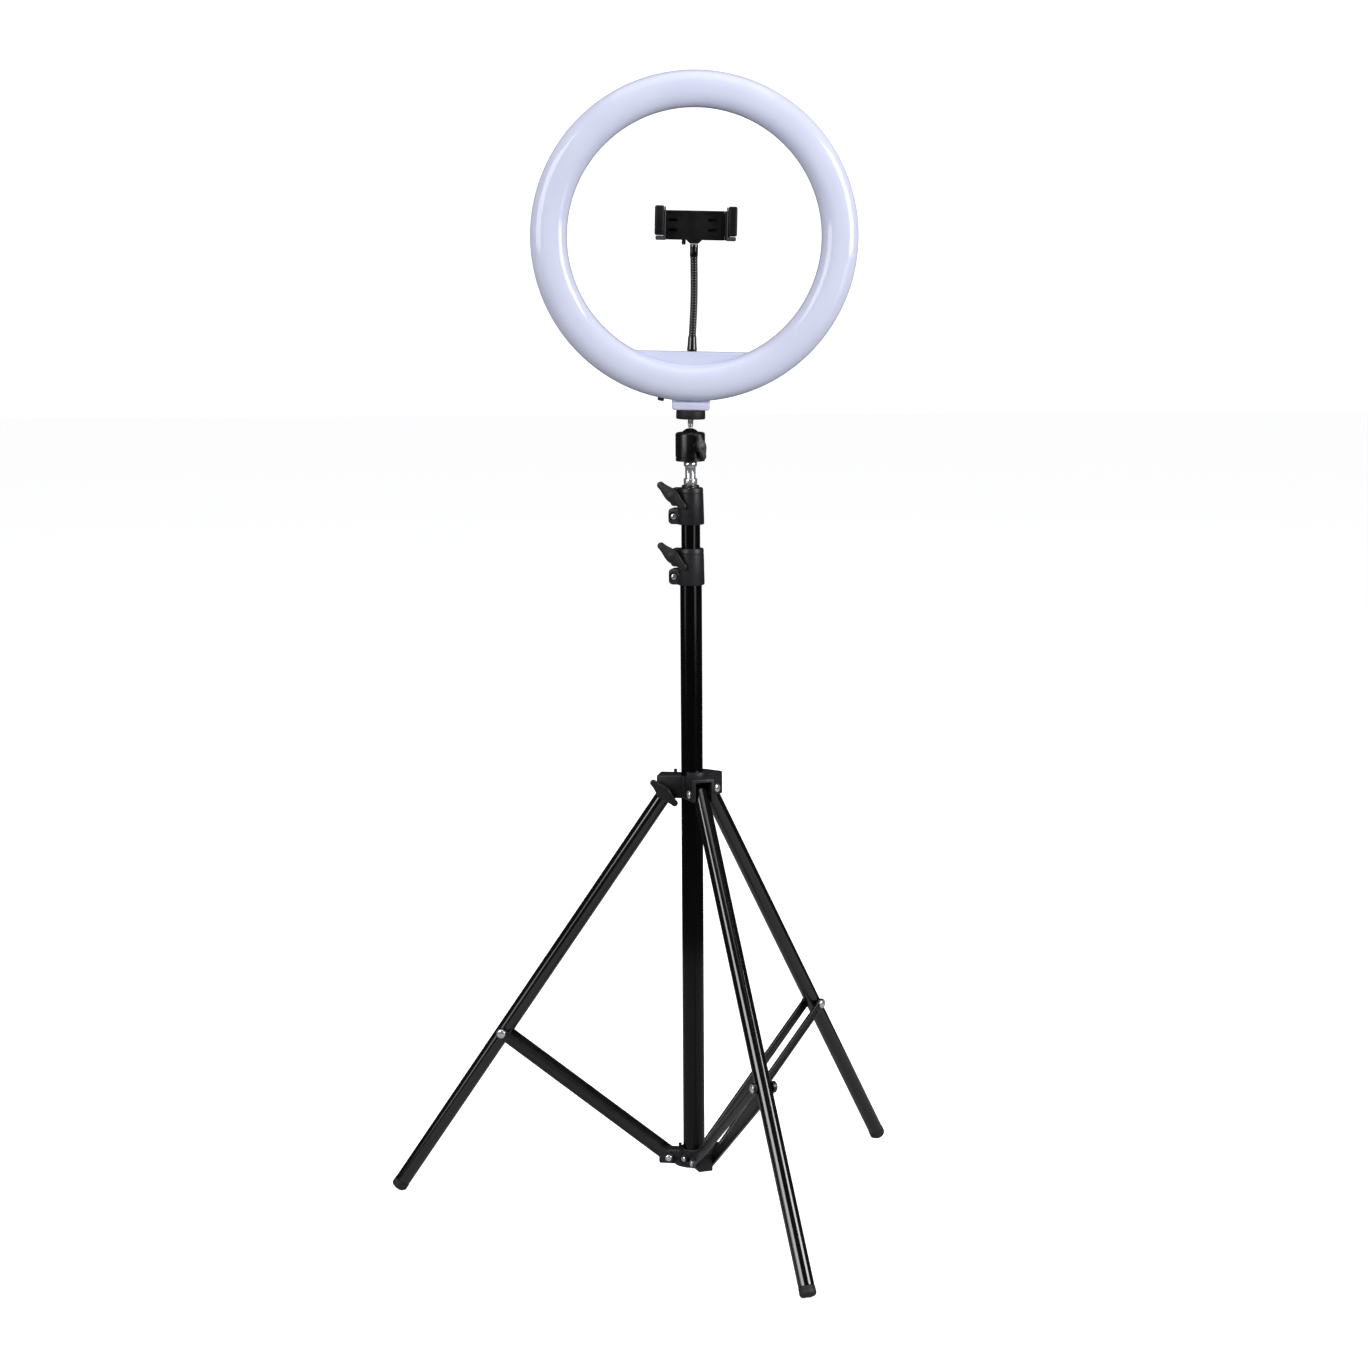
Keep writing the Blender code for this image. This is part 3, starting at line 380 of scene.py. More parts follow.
def cross_screw(name, place, radius, height, shank, length, body, node):
    """A domed screw with a cross recess."""
    profile = dome_profile(radius, height) + [(shank, 0), (shank, -length), (0, -length)]
    head = lathe(profile, 40)
    arm = radius * 0.62
    wide = radius * 0.13
    cuts = []
    for turn in (20, 110):
        cuts.append(moved(brick((-arm, -wide, height * 0.25), (arm, wide, height + 2)), at(rz=turn)))
    piece(name, carve(head, *cuts), place, CHROME, body, [node])


def wing_outline(half_length, half_width, tip):
    """Two wings that swell towards the middle and end in round tips."""
    power, count = 0.95, 12
    side = []
    for i in range(-count, count + 1):
        t = i / count
        swell = (0.5 + 0.5 * math.cos(math.pi * t)) ** power
        side.append(((half_length - tip) * t, tip + (half_width - tip) * swell))
    other = [(-x, -y) for x, y in side]
    right = arc((half_length - tip, 0), tip, 70, -70, 6)
    left = arc((tip - half_length, 0), tip, 250, 110, 6)
    return side + right + other + left


# Half the length, half the width, the tip's radius, the thickness and the boss's radius.
COLLAR_WINGS = (19.0, 6.6, 3.5, 5.0, 5.2)
LEG_HUB_WINGS = (18.2, 6.6, 3.2, 5.0, 5.2)
HEAD_WINGS = (13.2, 5.4, 2.6, 4.2, 4.4)
HOLDER_WINGS = (11.3, 3.8, 2.2, 4.0, 3.4)


def wing_knob(name, place, size, stand_off, stud, tilt, body, node, rim=1.5):
    """Two rounded wings on a boss, with a nearly flush cap. The stud is a radius and a length."""
    half_length, half_width, tip, thick, boss = size
    top = stand_off + thick
    wings = moved(slab(wing_outline(half_length, half_width, tip), stand_off, top, rim, 4), at(rz=tilt))
    neck = boss * 0.58
    profile = [(0, top + 0.2), (boss * 0.5, top + 0.15), (boss * 0.75, top), (boss * 0.85, top - 0.5)]
    profile += [(boss, top - 1.2), (boss, stand_off + 0.2), (boss - 0.5, stand_off - 0.3)]
    profile += [(neck + 0.4, stand_off * 0.5), (neck, stand_off * 0.42), (neck, 0.3), (0, 0.3)]
    piece(name, together(wings, lathe(profile, 48)), place, KNOB, body, [node])
    radius, length = stud
    if length:
        shaft = rod(radius, -length, 0.4, 32, 0.3)
        piece(name + "_stud", shaft, place, CHROME, body)


# ------------------------------------------------------------------ column
for body, node, radius, low, high in (("column", "column_tube", COLUMN_RADIUS, 46.7, 675),
                                      ("middle_tube", "middle_tube", MIDDLE_RADIUS, 84, 736),
                                      ("top_tube", "top_tube", TOP_RADIUS, 112, 742)):
    piece(node + "_paint", tube(radius, low, high), STAND, PAINT, body, [node])

COLLAR_TALL = 37
COLLAR_TOP_LIP = 5.7
LOWER_LUG, UPPER_LUG = 21.6, 19.5
COLLAR_SCREW_OUT, COLLAR_SCREW_UP = 16.4, 8.1
COLLAR_KNOB_OUT, COLLAR_KNOB_UP = 15.0, 29.9


def collar(name, low, bore_low, bore_top, outer_top, outer_low, body, knob_body):
    """A split collar with a screwed lug below and a knob's lug above."""
    top = low + COLLAR_TALL
    seat = top - COLLAR_TOP_LIP
    wide, narrow = bore_low + SLIDING_FIT, bore_top + SLIDING_FIT
    profile = [(narrow, top), (outer_top - 1.2, top), (outer_top - 0.35, top - 0.35)]
    profile += [(outer_top, top - 1.2), (outer_top + 0.12, top - 4.6), (outer_top - 0.25, top - 4.9)]
    profile += [(outer_top - 0.25, top - 5.4), (outer_top + 0.15, seat), (outer_low, low + 1.4)]
    profile += [(outer_low - 0.4, low + 0.4), (outer_low - 1.2, low), (wide, low), (wide, seat)]
    profile += [(narrow, seat)]
    ring = lathe(profile, 96, closed=True)
    inside = 1.0 - bore_low
    lower_outline = rounded(-LOWER_LUG, inside, low + 0.3, low + 16.4, (4, 4, 0, 0))
    upper_outline = rounded(-UPPER_LUG, inside, low + 18.5, top - 0.2, (3.4, 3.4, 0, 0))
    lower = moved(slab(lower_outline, -6.5, 6.5, 0.9), at(rx=90))
    upper = moved(slab(upper_outline, -6, 6, 0.9), at(rx=90))
    whole = carve(ring, lower, upper, operation="UNION")
    slit = brick((-LOWER_LUG - 2, -0.8, low - 2), (2 - bore_low, 0.8, top + 2))
    screw = at(-COLLAR_SCREW_OUT, 0, low + COLLAR_SCREW_UP, rx=90)
    knob = at(-COLLAR_KNOB_OUT, 0, low + COLLAR_KNOB_UP, rx=90)
    holes = [rod(wide, low - 3, seat, 96), rod(narrow, seat - 3, top + 3, 96), slit,
             moved(rod(2.8, -8, 8), knob), moved(rod(2.3, -8, 8), screw), moved(rod(4.4, 4.0, 9), screw)]
    piece(name + "_moulding", carve(whole, *holes), COLLAR, CLAMP, body, [name])
    cross_screw(name + "_cross_screw", COLLAR @ screw @ at(z=4.3), 3.5, 1.75, 2.0, 9.5, body, name + "_screw")
    wing_knob(name + "_wings", COLLAR @ knob @ at(z=6.0), COLLAR_WINGS, 7.8, (2.4, 11.8), -42.0,
              knob_body, name + "_knob")


collar("column_collar", 644.1, COLUMN_RADIUS, MIDDLE_RADIUS, 13.0, 13.8, "column", "column_collar_knob")
collar("middle_collar", 705.0, MIDDLE_RADIUS, TOP_RADIUS, 12.7, 13.7, "middle_tube", "middle_collar_knob")

cap = [(5.6, 744.6), (8.0, 744.6), (8.6, 744.3), (8.8, 743.8), (8.8, 742.3), (5.6, 742.3)]
piece("tube_cap_moulding", lathe(cap, 72, closed=True), STAND, CLAMP, "top_tube",
      ["tube_cap"])

spigot = [(0, 773.6), (2.6, 773.6), (3.1, 773.1), (3.1, 768.0), (5.9, 768.0), (6.4, 767.7)]
spigot += [(6.65, 767.2), (6.65, 764.0), (6.45, 763.5), (5.5, 762.9), (5.25, 762.3), (5.25, 752.0)]
spigot += [(5.5, 751.5), (6.3, 751.1), (6.75, 750.7), (6.95, 750.0), (6.95, 748.9), (6.6, 748.6)]
spigot += [(6.6, 748.1), (6.95, 747.8), (6.95, 746.7), (6.7, 745.6), (6.2, 744.9), (5.25, 744.9)]
spigot += [(5.25, 741.9), (6.7, 741.9), (6.7, 716.3), (6.4, 716), (0, 716)]
piece("spigot_chrome", lathe(spigot, 72), STAND, CHROME, "top_tube", ["spigot"])


# ------------------------------------------------------------------ leg hub
def leg_hub():
    """The sliding hub: a short sleeve, three slotted arms and a half lip on top."""
    sleeve = [(9, 450.5), (14.1, 450.5), (14.5, 450.1), (14.5, 428.4), (14.1, 428), (9, 428)]
    hub = lathe(sleeve, 96, closed=True)
    lip = [(9, 454.5), (16.4, 454.5), (17.0, 454.2), (17.2, 453.6), (17.2, 449), (9, 449)]
    lip = lathe(lip, 96, closed=True)
    lip = carve(lip, brick((-20, -20, 447), (-5, 20, 458)))
    parts = [lip]
    slots = []
    for arm in ARMS.values():
        local = STAND.inverted() @ arm
        body = brick((8, -12, 427.5), (34.5, 12, 451), 1.5)
        parts.append(moved(body, local))
        slots.append(moved(brick((14.9, -8.4, 422), (40, 8.4, 447.5)), local))
        slots.append(moved(rod(2.8, -15, 15), local @ at(HINGE_OUT, 0, HINGE_UP, rx=90)))
    tab = moved(brick((15.5, -1.5, 449.5), (18.5, 1.5, 456), 0.5), STAND.inverted() @ ARMS["left"])
    parts.append(tab)
    whole = carve(hub, *parts, operation="UNION")
    whole = carve(whole, *slots, rod(COLUMN_RADIUS + SLIDING_FIT, 419, 463, 96))
    piece("leg_hub_moulding", whole, STAND, CLAMP, "leg_hub", ["leg_hub"])
    for name, arm in ARMS.items():
        dome = dome_profile(4.2, 2.0, 12.3)
        near = dome + [(2.5, 12.3)]
        if name == "left":
            near = [(0, 17.0), (2.2, 17.0), (2.5, 16.7)]
        far = [(r, -z) for r, z in reversed(dome)]
        bolt = lathe(near + [(2.5, -12.3)] + far, 40)
        piece(f"leg_bolt_{name}_chrome", bolt, arm @ at(HINGE_OUT, 0, HINGE_UP, rx=-90), CHROME,
              "leg_hub", [f"leg_bolt_{name}"])
    wing_knob("leg_hub_wings", ARMS["left"] @ at(HINGE_OUT, 12, HINGE_UP, rx=-90), LEG_HUB_WINGS, 7.0,
              (2.4, 0), 137.0, "leg_hub_knob", "leg_hub_knob")


leg_hub()


# ------------------------------------------------------------------ strut hub, struts and legs
def strut_hub():
    """The fixed hub at the column's foot, with three arms and a clamp screw."""
    hub = rod(14.8, 44.2, 61.0, 96, 0.6)
    parts = [rod(20.5, 44.0, 50.0, 96, 0.5)]
    holes = []
    back = STAND.inverted()
    for arm in ARMS.values():
        local = back @ arm
        parts.append(moved(brick((8, -8, 43.8), (35.5, 8, 59.0), 1.8), local))
        holes.append(moved(rod(2.3, -11, 11), local @ at(RIVET_OUT, 0, RIVET_UP, rx=90)))
    parts.append(moved(brick((13.0, -1.5, 55.0), (16.0, 1.5, 64.5), 0.5), back @ ARMS["left"]))
    clamp = at(0, 0, 51.2, rx=90, rz=LEGS["front"] - 60)
    parts.append(moved(rod(5.2, 12.5, 18.0, 48, 0.5), clamp))
    whole = carve(hub, *parts, operation="UNION")
    holes += [rod(COLUMN_RADIUS + SLIDING_FIT, 46.4, 75.0, 96), moved(rod(2.3, 9, 20), clamp),
              moved(rod(3.8, 16.2, 21), clamp)]
    piece("strut_hub_moulding", carve(whole, *holes), STAND, CLAMP, "column", ["strut_hub"])
    cross_screw("strut_hub_cross_screw", STAND @ clamp @ at(z=16.5), 3.3, 1.65, 2.0, 5.0, "column",
                "strut_hub_screw")


strut_hub()
RUN_OUT = HINGE_OUT + LEG_TO_STRUTS * math.sin(math.radians(LEG_LEAN)) - RIVET_OUT
RUN_UP = HINGE_UP - LEG_TO_STRUTS * math.cos(math.radians(LEG_LEAN)) - RIVET_UP
STRUT_LENGTH = math.hypot(RUN_OUT, RUN_UP)
STRUT_RISE = math.degrees(math.atan2(RUN_UP, RUN_OUT))
BAR_OFFSET, BAR_HALF_WIDTH, BAR_HALF_THICK = 9.85, 5.2, 1.5


def strut_rivet(name, arm):
    """A rivet through the fixed hub, with a dome at either end."""
    half = dome_profile(3.4, 1.6, 11.65) + [(2.0, 11.65)]
    rivet = lathe(half + [(r, -z) for r, z in reversed(half)], 40)
    piece(f"strut_rivet_{name}_chrome", rivet, arm @ at(RIVET_OUT, 0, RIVET_UP, rx=90), CHROME,
          "column", [f"strut_rivet_{name}"])


def leg(name, arm):
    """A leg tube and its ribbed rubber foot, pressed flat on the floor."""
    hinge = arm @ at(HINGE_OUT, 0, HINGE_UP, ry=-LEG_LEAN)
    shaft = carve(tube(LEG_RADIUS, -511.7, 5.0), moved(rod(2.8, -12, 12), at(rx=90)))
    piece(f"leg_tube_{name}_paint", shaft, hinge, LEG_PAINT, f"leg_{name}",
          [f"leg_tube_{name}"])
    foot = [(0, -497), (6.1, -497), (6.7, -498), (6.7, -512), (7.7, -512), (8.15, -512.2), (8.3, -512.7)]
    foot += [(8.3, -514.2), (8.05, -514.5), (8.05, -514.9), (8.3, -515.2)]
    foot += arc((5.3, -518), 3.0, 0, -90, 8) + [(0, -521)]
    piece(f"leg_foot_{name}_rubber", lathe(foot, 64), hinge, FOOT, f"leg_{name}",
          [f"leg_foot_{name}"], grounded=True)


def struts(name, arm):
    """Two grooved bars astride a leg, with a washer and a rivet head at the leg's end of each."""
    swing = arm @ at(RIVET_OUT, 0, RIVET_UP, ry=-STRUT_RISE)
    for side, sign in (("a", -1), ("b", 1)):
        place = swing @ at(y=sign * BAR_OFFSET, rx=-90 * sign)
        bar = slab(bar_outline(STRUT_LENGTH, BAR_HALF_WIDTH), -BAR_HALF_THICK, BAR_HALF_THICK, 0.55, 3)
        groove = moved(slab(bar_outline(STRUT_LENGTH - 26, 2.4), 0.75, 3.0), at(13))
        bar = carve(bar, groove, rod(2.3, -4, 4))
        washer = lathe([(0, 2.2), (4.9, 2.2), (5.5, 1.9), (5.75, 1.5), (5.75, -1.1), (0, -1.1)], 56)
        washer = moved(washer, at(STRUT_LENGTH))
        piece(f"strut_{name}_{side}_paint", together(bar, washer), place, BAR_PAINT_AND_SHEEN,
              f"struts_{name}", [f"strut_{name}_{side}"])
        head = lathe(dome_profile(4.7, 1.9, 2.05) + [(4.7, 1.6), (0, 1.6)], 48)
        piece(f"strut_{name}_{side}_rivet", head, place @ at(STRUT_LENGTH), CHROME,
              f"struts_{name}")


for name, arm in ARMS.items():
    strut_rivet(name, arm)
    leg(name, arm)
    struts(name, arm)


# ------------------------------------------------------------------ ball head
SOCKET_RADIUS = 10.8
SOCKET_FLOOR, SOCKET_RIM = 6, 6.5


def ball_head():
    """The shell round the ball, with a boss for its knob."""
    start = -math.degrees(math.acos(SOCKET_FLOOR / SOCKET_RADIUS))
    rim = math.sqrt(SOCKET_RADIUS ** 2 - SOCKET_RIM ** 2)
    socket = arc((0, BALL_UP), SOCKET_RADIUS, start, math.degrees(math.atan2(SOCKET_RIM, rim)), 14)
    profile = [(3.4, 768.5), (3.4, 774), (SOCKET_FLOOR, 774)] + socket
    profile += [(11.6, 797.5), (12.6, 797.35), (13.9, 796.9), (14.6, 796.1), (14.85, 795.0), (14.85, 772.9)]
    profile += [(14.3, 772.5), (14.3, 771.9), (14.6, 771.7), (14.6, 769.1), (14.1, 768.5)]
    turn = at(0, 0, 784, rx=90, rz=32)
    boss = lathe([(0, 16.2), (4.8, 16.2), (5.2, 15.8), (5.4, 13.0), (5.6, 12.6), (0, 12.6)], 48)
    head = carve(lathe(profile, 96, closed=True), moved(boss, turn), operation="UNION")
    head = carve(head, moved(rod(2.3, 8, 20), turn))
    piece("ball_head_shell", head, STAND, HEAD_BLACK, "ball_head", ["ball_head_body"])
    wing_knob("ball_head_wings", STAND @ turn @ at(z=16.2), HEAD_WINGS, 2.2, (2.0, 5.9), 105.0,
              "ball_head_knob", "ball_head_knob", rim=1.2)


ball_head()
sphere = [(10.5 * math.sin(math.pi * i / 40), 10.5 * math.cos(math.pi * i / 40)) for i in range(41)]
piece("ball_polished", lathe(sphere, 80), HEAD, BALL_BLACK, "ball", ["ball"])
stud = [(0, 36), (2.7, 36), (3.1, 35.6), (3.1, 19.0), (2.75, 18.5), (2.75, 13.0), (2.1, 12.2), (2.1, 10.9)]
piece("ball_stud_chrome", lathe(stud + [(0, 10.9)], 48), HEAD, CHROME, "ball_stud", ["ball_stud"])
disc = [(3.4, 28.1), (13.6, 28.1), (14.3, 27.8), (14.6, 27.1), (14.6, 20.5), (14.3, 19.8), (13.6, 19.5)]
piece("platform_disc_rubber", lathe(disc + [(3.4, 19.5)], 96, closed=True), HEAD, DISC,
      "ball_stud", ["platform_disc"])


# ------------------------------------------------------------------ ring
RING_STEPS = 224


def diffuser_outline(inset, count):
    """The diffuser's bulge across the ring, from its inner rim to its outer rim."""
    half = (RING_OUTER - RING_INNER) / 2 - inset
    base = 3.0
    points = []
    for i in range(count + 1):
        angle = math.pi * (1 - i / count)
        across = math.copysign(abs(math.cos(angle)) ** 0.86, math.cos(angle))
        points.append((RING_MIDDLE + half * across, base + (17.0 - base - inset) * math.sin(angle) ** 0.86))
    return points


diffuser = diffuser_outline(0.0, 32) + list(reversed(diffuser_outline(1.6, 12)))
diffuser = lathe(diffuser, RING_STEPS, closed=True)
piece("front_diffuser_smooth", diffuser, RING_AXIS, DIFFUSER, "light", ["front_diffuser"])


def rear_housing():
    """A hollow back shell with a bridge inside the ring, a neck below and eight screws."""
    profile = [(RING_OUTER - 0.3, 2.7), (RING_OUTER, 2.3)] + arc((RING_OUTER - 5, -4.0), 5.0, 0, -90, 8)
    profile += arc((RING_INNER + 5, -4.0), 5.0, -90, -180, 8) + [(RING_INNER, 2.3), (RING_INNER + 0.3, 2.7)]
    profile += [(128.3, 2.7), (128.3, -4.5), (131.5, -7.2), (157.3, -7.2), (160.5, -4.5), (160.5, 2.7)]
    housing = lathe(profile, RING_STEPS, closed=True)
    radius = RING_INNER + 1
    half = math.degrees(math.acos(113.3 / radius))
    bridge = slab(arc((0, 0), radius, -90 - half, -90 + half, 40), -8.7, 2.4, 0.8)
    neck = slab(rounded(-19, 19, -171.4, -160.8, (0, 3.2, 3.2, 0), 8), -11.0, 2.4, 1.6, 4)
    foot = slab(rounded(-19, 19, -171.4, -163.3, (2.0, 3.2, 3.2, 2.0), 8), -11.0, 9.0, 1.6, 4)
    whole = carve(housing, bridge, neck, foot, operation="UNION")
    back = RING_AXIS.inverted()
    holes = [moved(rod(3.4, 26.4, 36.5), back @ HEAD), moved(rod(3.3, -122.3, -109.3), back @ GOOSE),
             moved(rod(2.9, 157.5, 166.5), back @ GLAND)]
    angles = [math.radians(360 / HOUSING_SCREWS * (i + 0.5)) for i in range(HOUSING_SCREWS)]
    spots = [(RING_MIDDLE * math.cos(a), RING_MIDDLE * math.sin(a)) for a in angles]
    holes += [moved(rod(2.6, -10, -7.9, 32), at(x, y, rz=4)) for x, y in spots]
    piece("rear_housing_smooth", carve(whole, *holes), RING_AXIS, SHELL, "light",
          ["rear_housing"])
    for i, (x, y) in enumerate(spots):
        screw = carve(lathe([(0, 0.75), (1.5, 0.65), (2.2, 0.3), (2.3, 0), (0, 0)], 32),
                      brick((-1.3, -0.3, 0.3), (1.3, 0.3, 2)), brick((-0.3, -1.3, 0.3), (0.3, 1.3, 2)))
        piece(f"housing_screw_{i}", screw, RING_AXIS @ at(x, y, -7.9, rx=180), STEEL, "light")


rear_housing()
gland = [(1.5, 165.5), (2.5, 165.5), (2.8, 165.2), (3.3, 164.6), (3.3, 162.8), (2.6, 162.8), (2.6, 160.0)]
gland += [(3.2, 160.0), (3.2, 159.0), (1.5, 159.0)]
piece("power_gland_rubber", lathe(gland, 48, closed=True), GLAND, FOOT, "light",
      ["power_gland"])


# ------------------------------------------------------------------ gooseneck
def ridged(low, high, radius):
    """Rounded ridges, as a wound steel hose has."""
    pitch, depth = 2.7, 0.7
    count = max(1, round((high - low) / pitch))
    step = (high - low) / count
    points = []
    for i in range(count):
        top = high - step * i
        for share, drop in ((0.0, depth), (0.14, depth * 0.35), (0.32, 0.04), (0.5, 0.0), (0.68, 0.04),
                            (0.86, depth * 0.35)):
            points.append((radius - drop, top - step * share))
    points.append((radius - depth, low))
    return points


ferrule = [(0, -98.2), (3.6, -98.2), (4.0, -98.5), (4.2, -99.4), (4.3, -103), (4.6, -108), (4.95, -110.5)]
ferrule += [(4.95, -112.2), (4.6, -113.0), (3.0, -113.0), (3.0, -121.0), (0, -121.0)]
piece("gooseneck_ferrule_gloss", lathe(ferrule, 56), GOOSE, BALL_BLACK, "light",
      ["gooseneck_ferrule"])
HOSE_LOW, HOSE_HIGH = -98.4, -19.8
HOSE_BOW = 0.95
# Each length of hose: its name, the body below, the body above, its low and high ends, and the height of its
# hinge.
# Only the name and the ends are read here; each length is left unattached, with its placing baked into its
# mesh.
LENGTHS = (("lower", "light", "gooseneck_lower", HOSE_LOW, -82.1, -97.2),
           ("middle", "gooseneck_lower", "gooseneck_middle", -82.1, -52.0, -67.0),
           ("upper", "gooseneck_middle", "gooseneck_upper", -52.0, HOSE_HIGH, -37.0))
for name, below, above, low, high, hinge in LENGTHS:
    hose = lathe([(0, high)] + ridged(low, high, 3.75) + [(0, low)], 48)
    for vert in hose.verts:
        vert.co.x += HOSE_BOW * math.sin(math.pi * (vert.co.z - HOSE_LOW) / (HOSE_HIGH - HOSE_LOW))
    hose = piece(f"gooseneck_{name}_hose", hose, GOOSE, NECK_COAT)
    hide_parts(f"gooseneck_{name}")
    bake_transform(hose)
tip = [(0, -7.3), (3.7, -7.3), (4.0, -7.7), (4.0, -19.4), (3.75, -19.9), (0, -19.9)]
piece("gooseneck_tip_sleeve", lathe(tip, 56), GOOSE, NECK_COAT, "gooseneck_upper")


# ------------------------------------------------------------------ phone holder
TILT_UP = 3.2
SIDEWAYS = at(0, 0, TILT_UP, ry=90)
FRONT, BACK = -19.6, -11.6
JAW_DEEP = 20
swivel = lathe([(0, -2.3), (6.8, -2.3), (7.4, -2.5), (7.6, -3.0), (7.6, -3.7), (7.1, -4.2), (4.4, -6.7),
                (4.0, -7.0), (0, -7.0)], 64)
swivel = carve(swivel, moved(rod(5.0, -3.9, 3.9, 56, 0.3), SIDEWAYS), rod(3.4, -5, 3.2), operation="UNION")
swivel = carve(swivel, moved(rod(2.2, -8, 8), SIDEWAYS))
piece("holder_swivel_moulding", swivel, GOOSE, HOLDER_BLACK, "holder_swivel",
      ["holder_swivel"])
wing_knob("holder_wings", GOOSE @ at(-7.5, 0, TILT_UP, ry=-90), HOLDER_WINGS, 0.8, (1.9, 14.6), 0.0,
          "holder_knob", "holder_knob", rim=1.0)


def holder_body():
    """The back plate with its slots and panel line, the fixed jaw and two hinge ears."""
    plate = brick((-32.2, FRONT, -3.3), (28.3, BACK, 25.5), 1.0)
    jaw = brick((-40.6, BACK - JAW_DEEP, 0.8), (-31.2, BACK, 30.0), 2.0, 4)
    parts = [jaw]
    for sign in (-1, 1):
        inner, outer = sorted((sign * 4.2 - 1.4, sign * 7.4 - 1.4))
        parts.append(moved(rod(5.2, inner, outer, 56, 0.4), SIDEWAYS))
        parts.append(brick((inner, BACK - 1, 1.7), (outer, 0, 8.2), 0.3))
    whole = carve(plate, *parts, operation="UNION")
    cuts = [brick((-27.7, FRONT + 1.8, 0.3), (37.3, BACK - 2.0, 22.5)), moved(rod(2.2, -12, 12), SIDEWAYS)]
    for x in (-26.5, 13.2):
        for z in (6.4, 16.2):
            cuts.append(moved(slab(bar_outline(6.6, 1.4), -3, 3), at(x, FRONT, z, rx=90)))
    panel = slab(rounded(-28.6, 24.0, -0.9, 23.2, (1.5, 1.5, 1.5, 1.5)), -0.45, 0.45)
    cuts.append(moved(panel, at(0, FRONT, 0, rx=90)))
    cuts.append(brick((25.0, FRONT - 1, -1.5), (25.5, FRONT + 0.5, 23.6)))
    piece("holder_frame_moulding", carve(whole, *cuts), HOLDER, HOLDER_BLACK, "holder",
          ["holder_frame"])


holder_body()
jaw = brick((31.8, BACK - JAW_DEEP, 0.8), (40.6, BACK, 30.0), 2.0, 4)
jaw = carve(jaw, brick((28.4, FRONT, -3.3), (33.8, BACK, 25.5), 0.6),
            brick((-8, FRONT + 4.6, 0.8), (32.8, BACK - 2.3, 22.2), 0.3), operation="UNION")
piece("sliding_jaw_moulding", jaw, HOLDER, HOLDER_BLACK, "sliding_jaw", ["sliding_jaw"])


def jaw_pad(side, inner, outer, sign, body):
    """A soft lining on the jaw's inner face with a foot below. Sign is the way the face looks along X."""
    near, far = sorted((inner + sign * 0.3, inner + sign * 1.5))
    left, right = sorted((outer, inner + sign * 1.5))
    front = BACK - JAW_DEEP + 0.6
    lining = brick((near, front, -3.8), (far, FRONT - 0.3, 29.0), 0.35)
    foot = brick((left, front, -3.8), (right, FRONT - 0.3, 0.5), 1.2)
    groove_left, groove_right = (far - 0.3, far + 0.5) if sign > 0 else (near - 0.5, near + 0.3)
    grooves = []
    for i in range(7):
        low = 5 + 3.2 * i
        grooves.append(brick((groove_left, front + 0.8, low), (groove_right, FRONT - 1.2, low + 0.7)))
    pad = carve(lining, foot, operation="UNION")
    piece(f"jaw_pad_{side}_rubber", carve(pad, *grooves), HOLDER, PAD, body, [f"jaw_pad_{side}"])


jaw_pad("left", -31.2, -39.6, 1, "holder")
jaw_pad("right", 31.8, 39.6, -1, "sliding_jaw")


# ------------------------------------------------------------------ floor, lights and camera
def plain(name, colour, glow):
    """A matte ground that gives off some light of its own."""
    mat = bpy.data.materials.new(name)
    mat.use_nodes = True
    shader = mat.node_tree.nodes["Principled BSDF"]
    noise = mat.node_tree.nodes.new("ShaderNodeTexNoise")
    noise.inputs["Scale"].default_value = 3.0
    ramp = mat.node_tree.nodes.new("ShaderNodeValToRGB")
    ramp.color_ramp.elements[0].color = (*[c * 0.985 for c in colour], 1)
    ramp.color_ramp.elements[1].color = (*colour, 1)
    mat.node_tree.links.new(noise.outputs["Fac"], ramp.inputs["Fac"])
    mat.node_tree.links.new(ramp.outputs["Color"], shader.inputs["Base Color"])
    shader.inputs["Roughness"].default_value = 0.9
    shader.inputs["Specular IOR Level"].default_value = 0.1
    shader.inputs["Emission Color"].default_value = (*colour, 1)
    shader.inputs["Emission Strength"].default_value = glow
    return mat


def laid(name, bm, mat):
    """A flat mesh for the ground."""
    mesh = bpy.data.meshes.new(name)
    bm.to_mesh(mesh)
    bm.free()
    mesh.materials.append(mat)
    obj = bpy.data.objects.new(name, mesh)
    bpy.context.scene.collection.objects.link(obj)
    return obj


ground = bmesh.new()
bmesh.ops.create_grid(ground, x_segments=1, y_segments=1, size=14)
floor = laid("floor", ground, plain("pale_floor", (0.93, 0.93, 0.935), 0.9))
floor.visible_glossy = False
floor.visible_diffuse = False

# The disc is seen only in reflections. It stands for the pale floor as the paint mirrors it.
ground = bmesh.new()
bmesh.ops.create_circle(ground, cap_ends=True, segments=64, radius=1.15)
glow = laid("floor_glow", ground, plain("floor_glow", (0.24, 0.24, 0.245), 0.55))
glow.location = (STAND_X * MM, STAND_Y * MM, 0.0005)
glow.visible_camera = glow.visible_diffuse = glow.visible_shadow = glow.visible_transmission = False


def softbox(name, azimuth, distance, height, aim, width, tall, watts):
    """A soft panel seen from the stand at an azimuth (degrees from the camera, to the right)."""
    light = bpy.data.lights.new(name, "AREA")
    light.shape = "RECTANGLE"
    light.size = width
    light.size_y = tall
    light.energy = watts
    obj = bpy.data.objects.new(name, light)
    bpy.context.scene.collection.objects.link(obj)
    a = math.radians(azimuth)
    obj.location = (distance * math.sin(a), -distance * math.cos(a), height)
    obj.rotation_euler = (Vector(aim) - obj.location).to_track_quat("-Z", "Y").to_euler()
    return obj


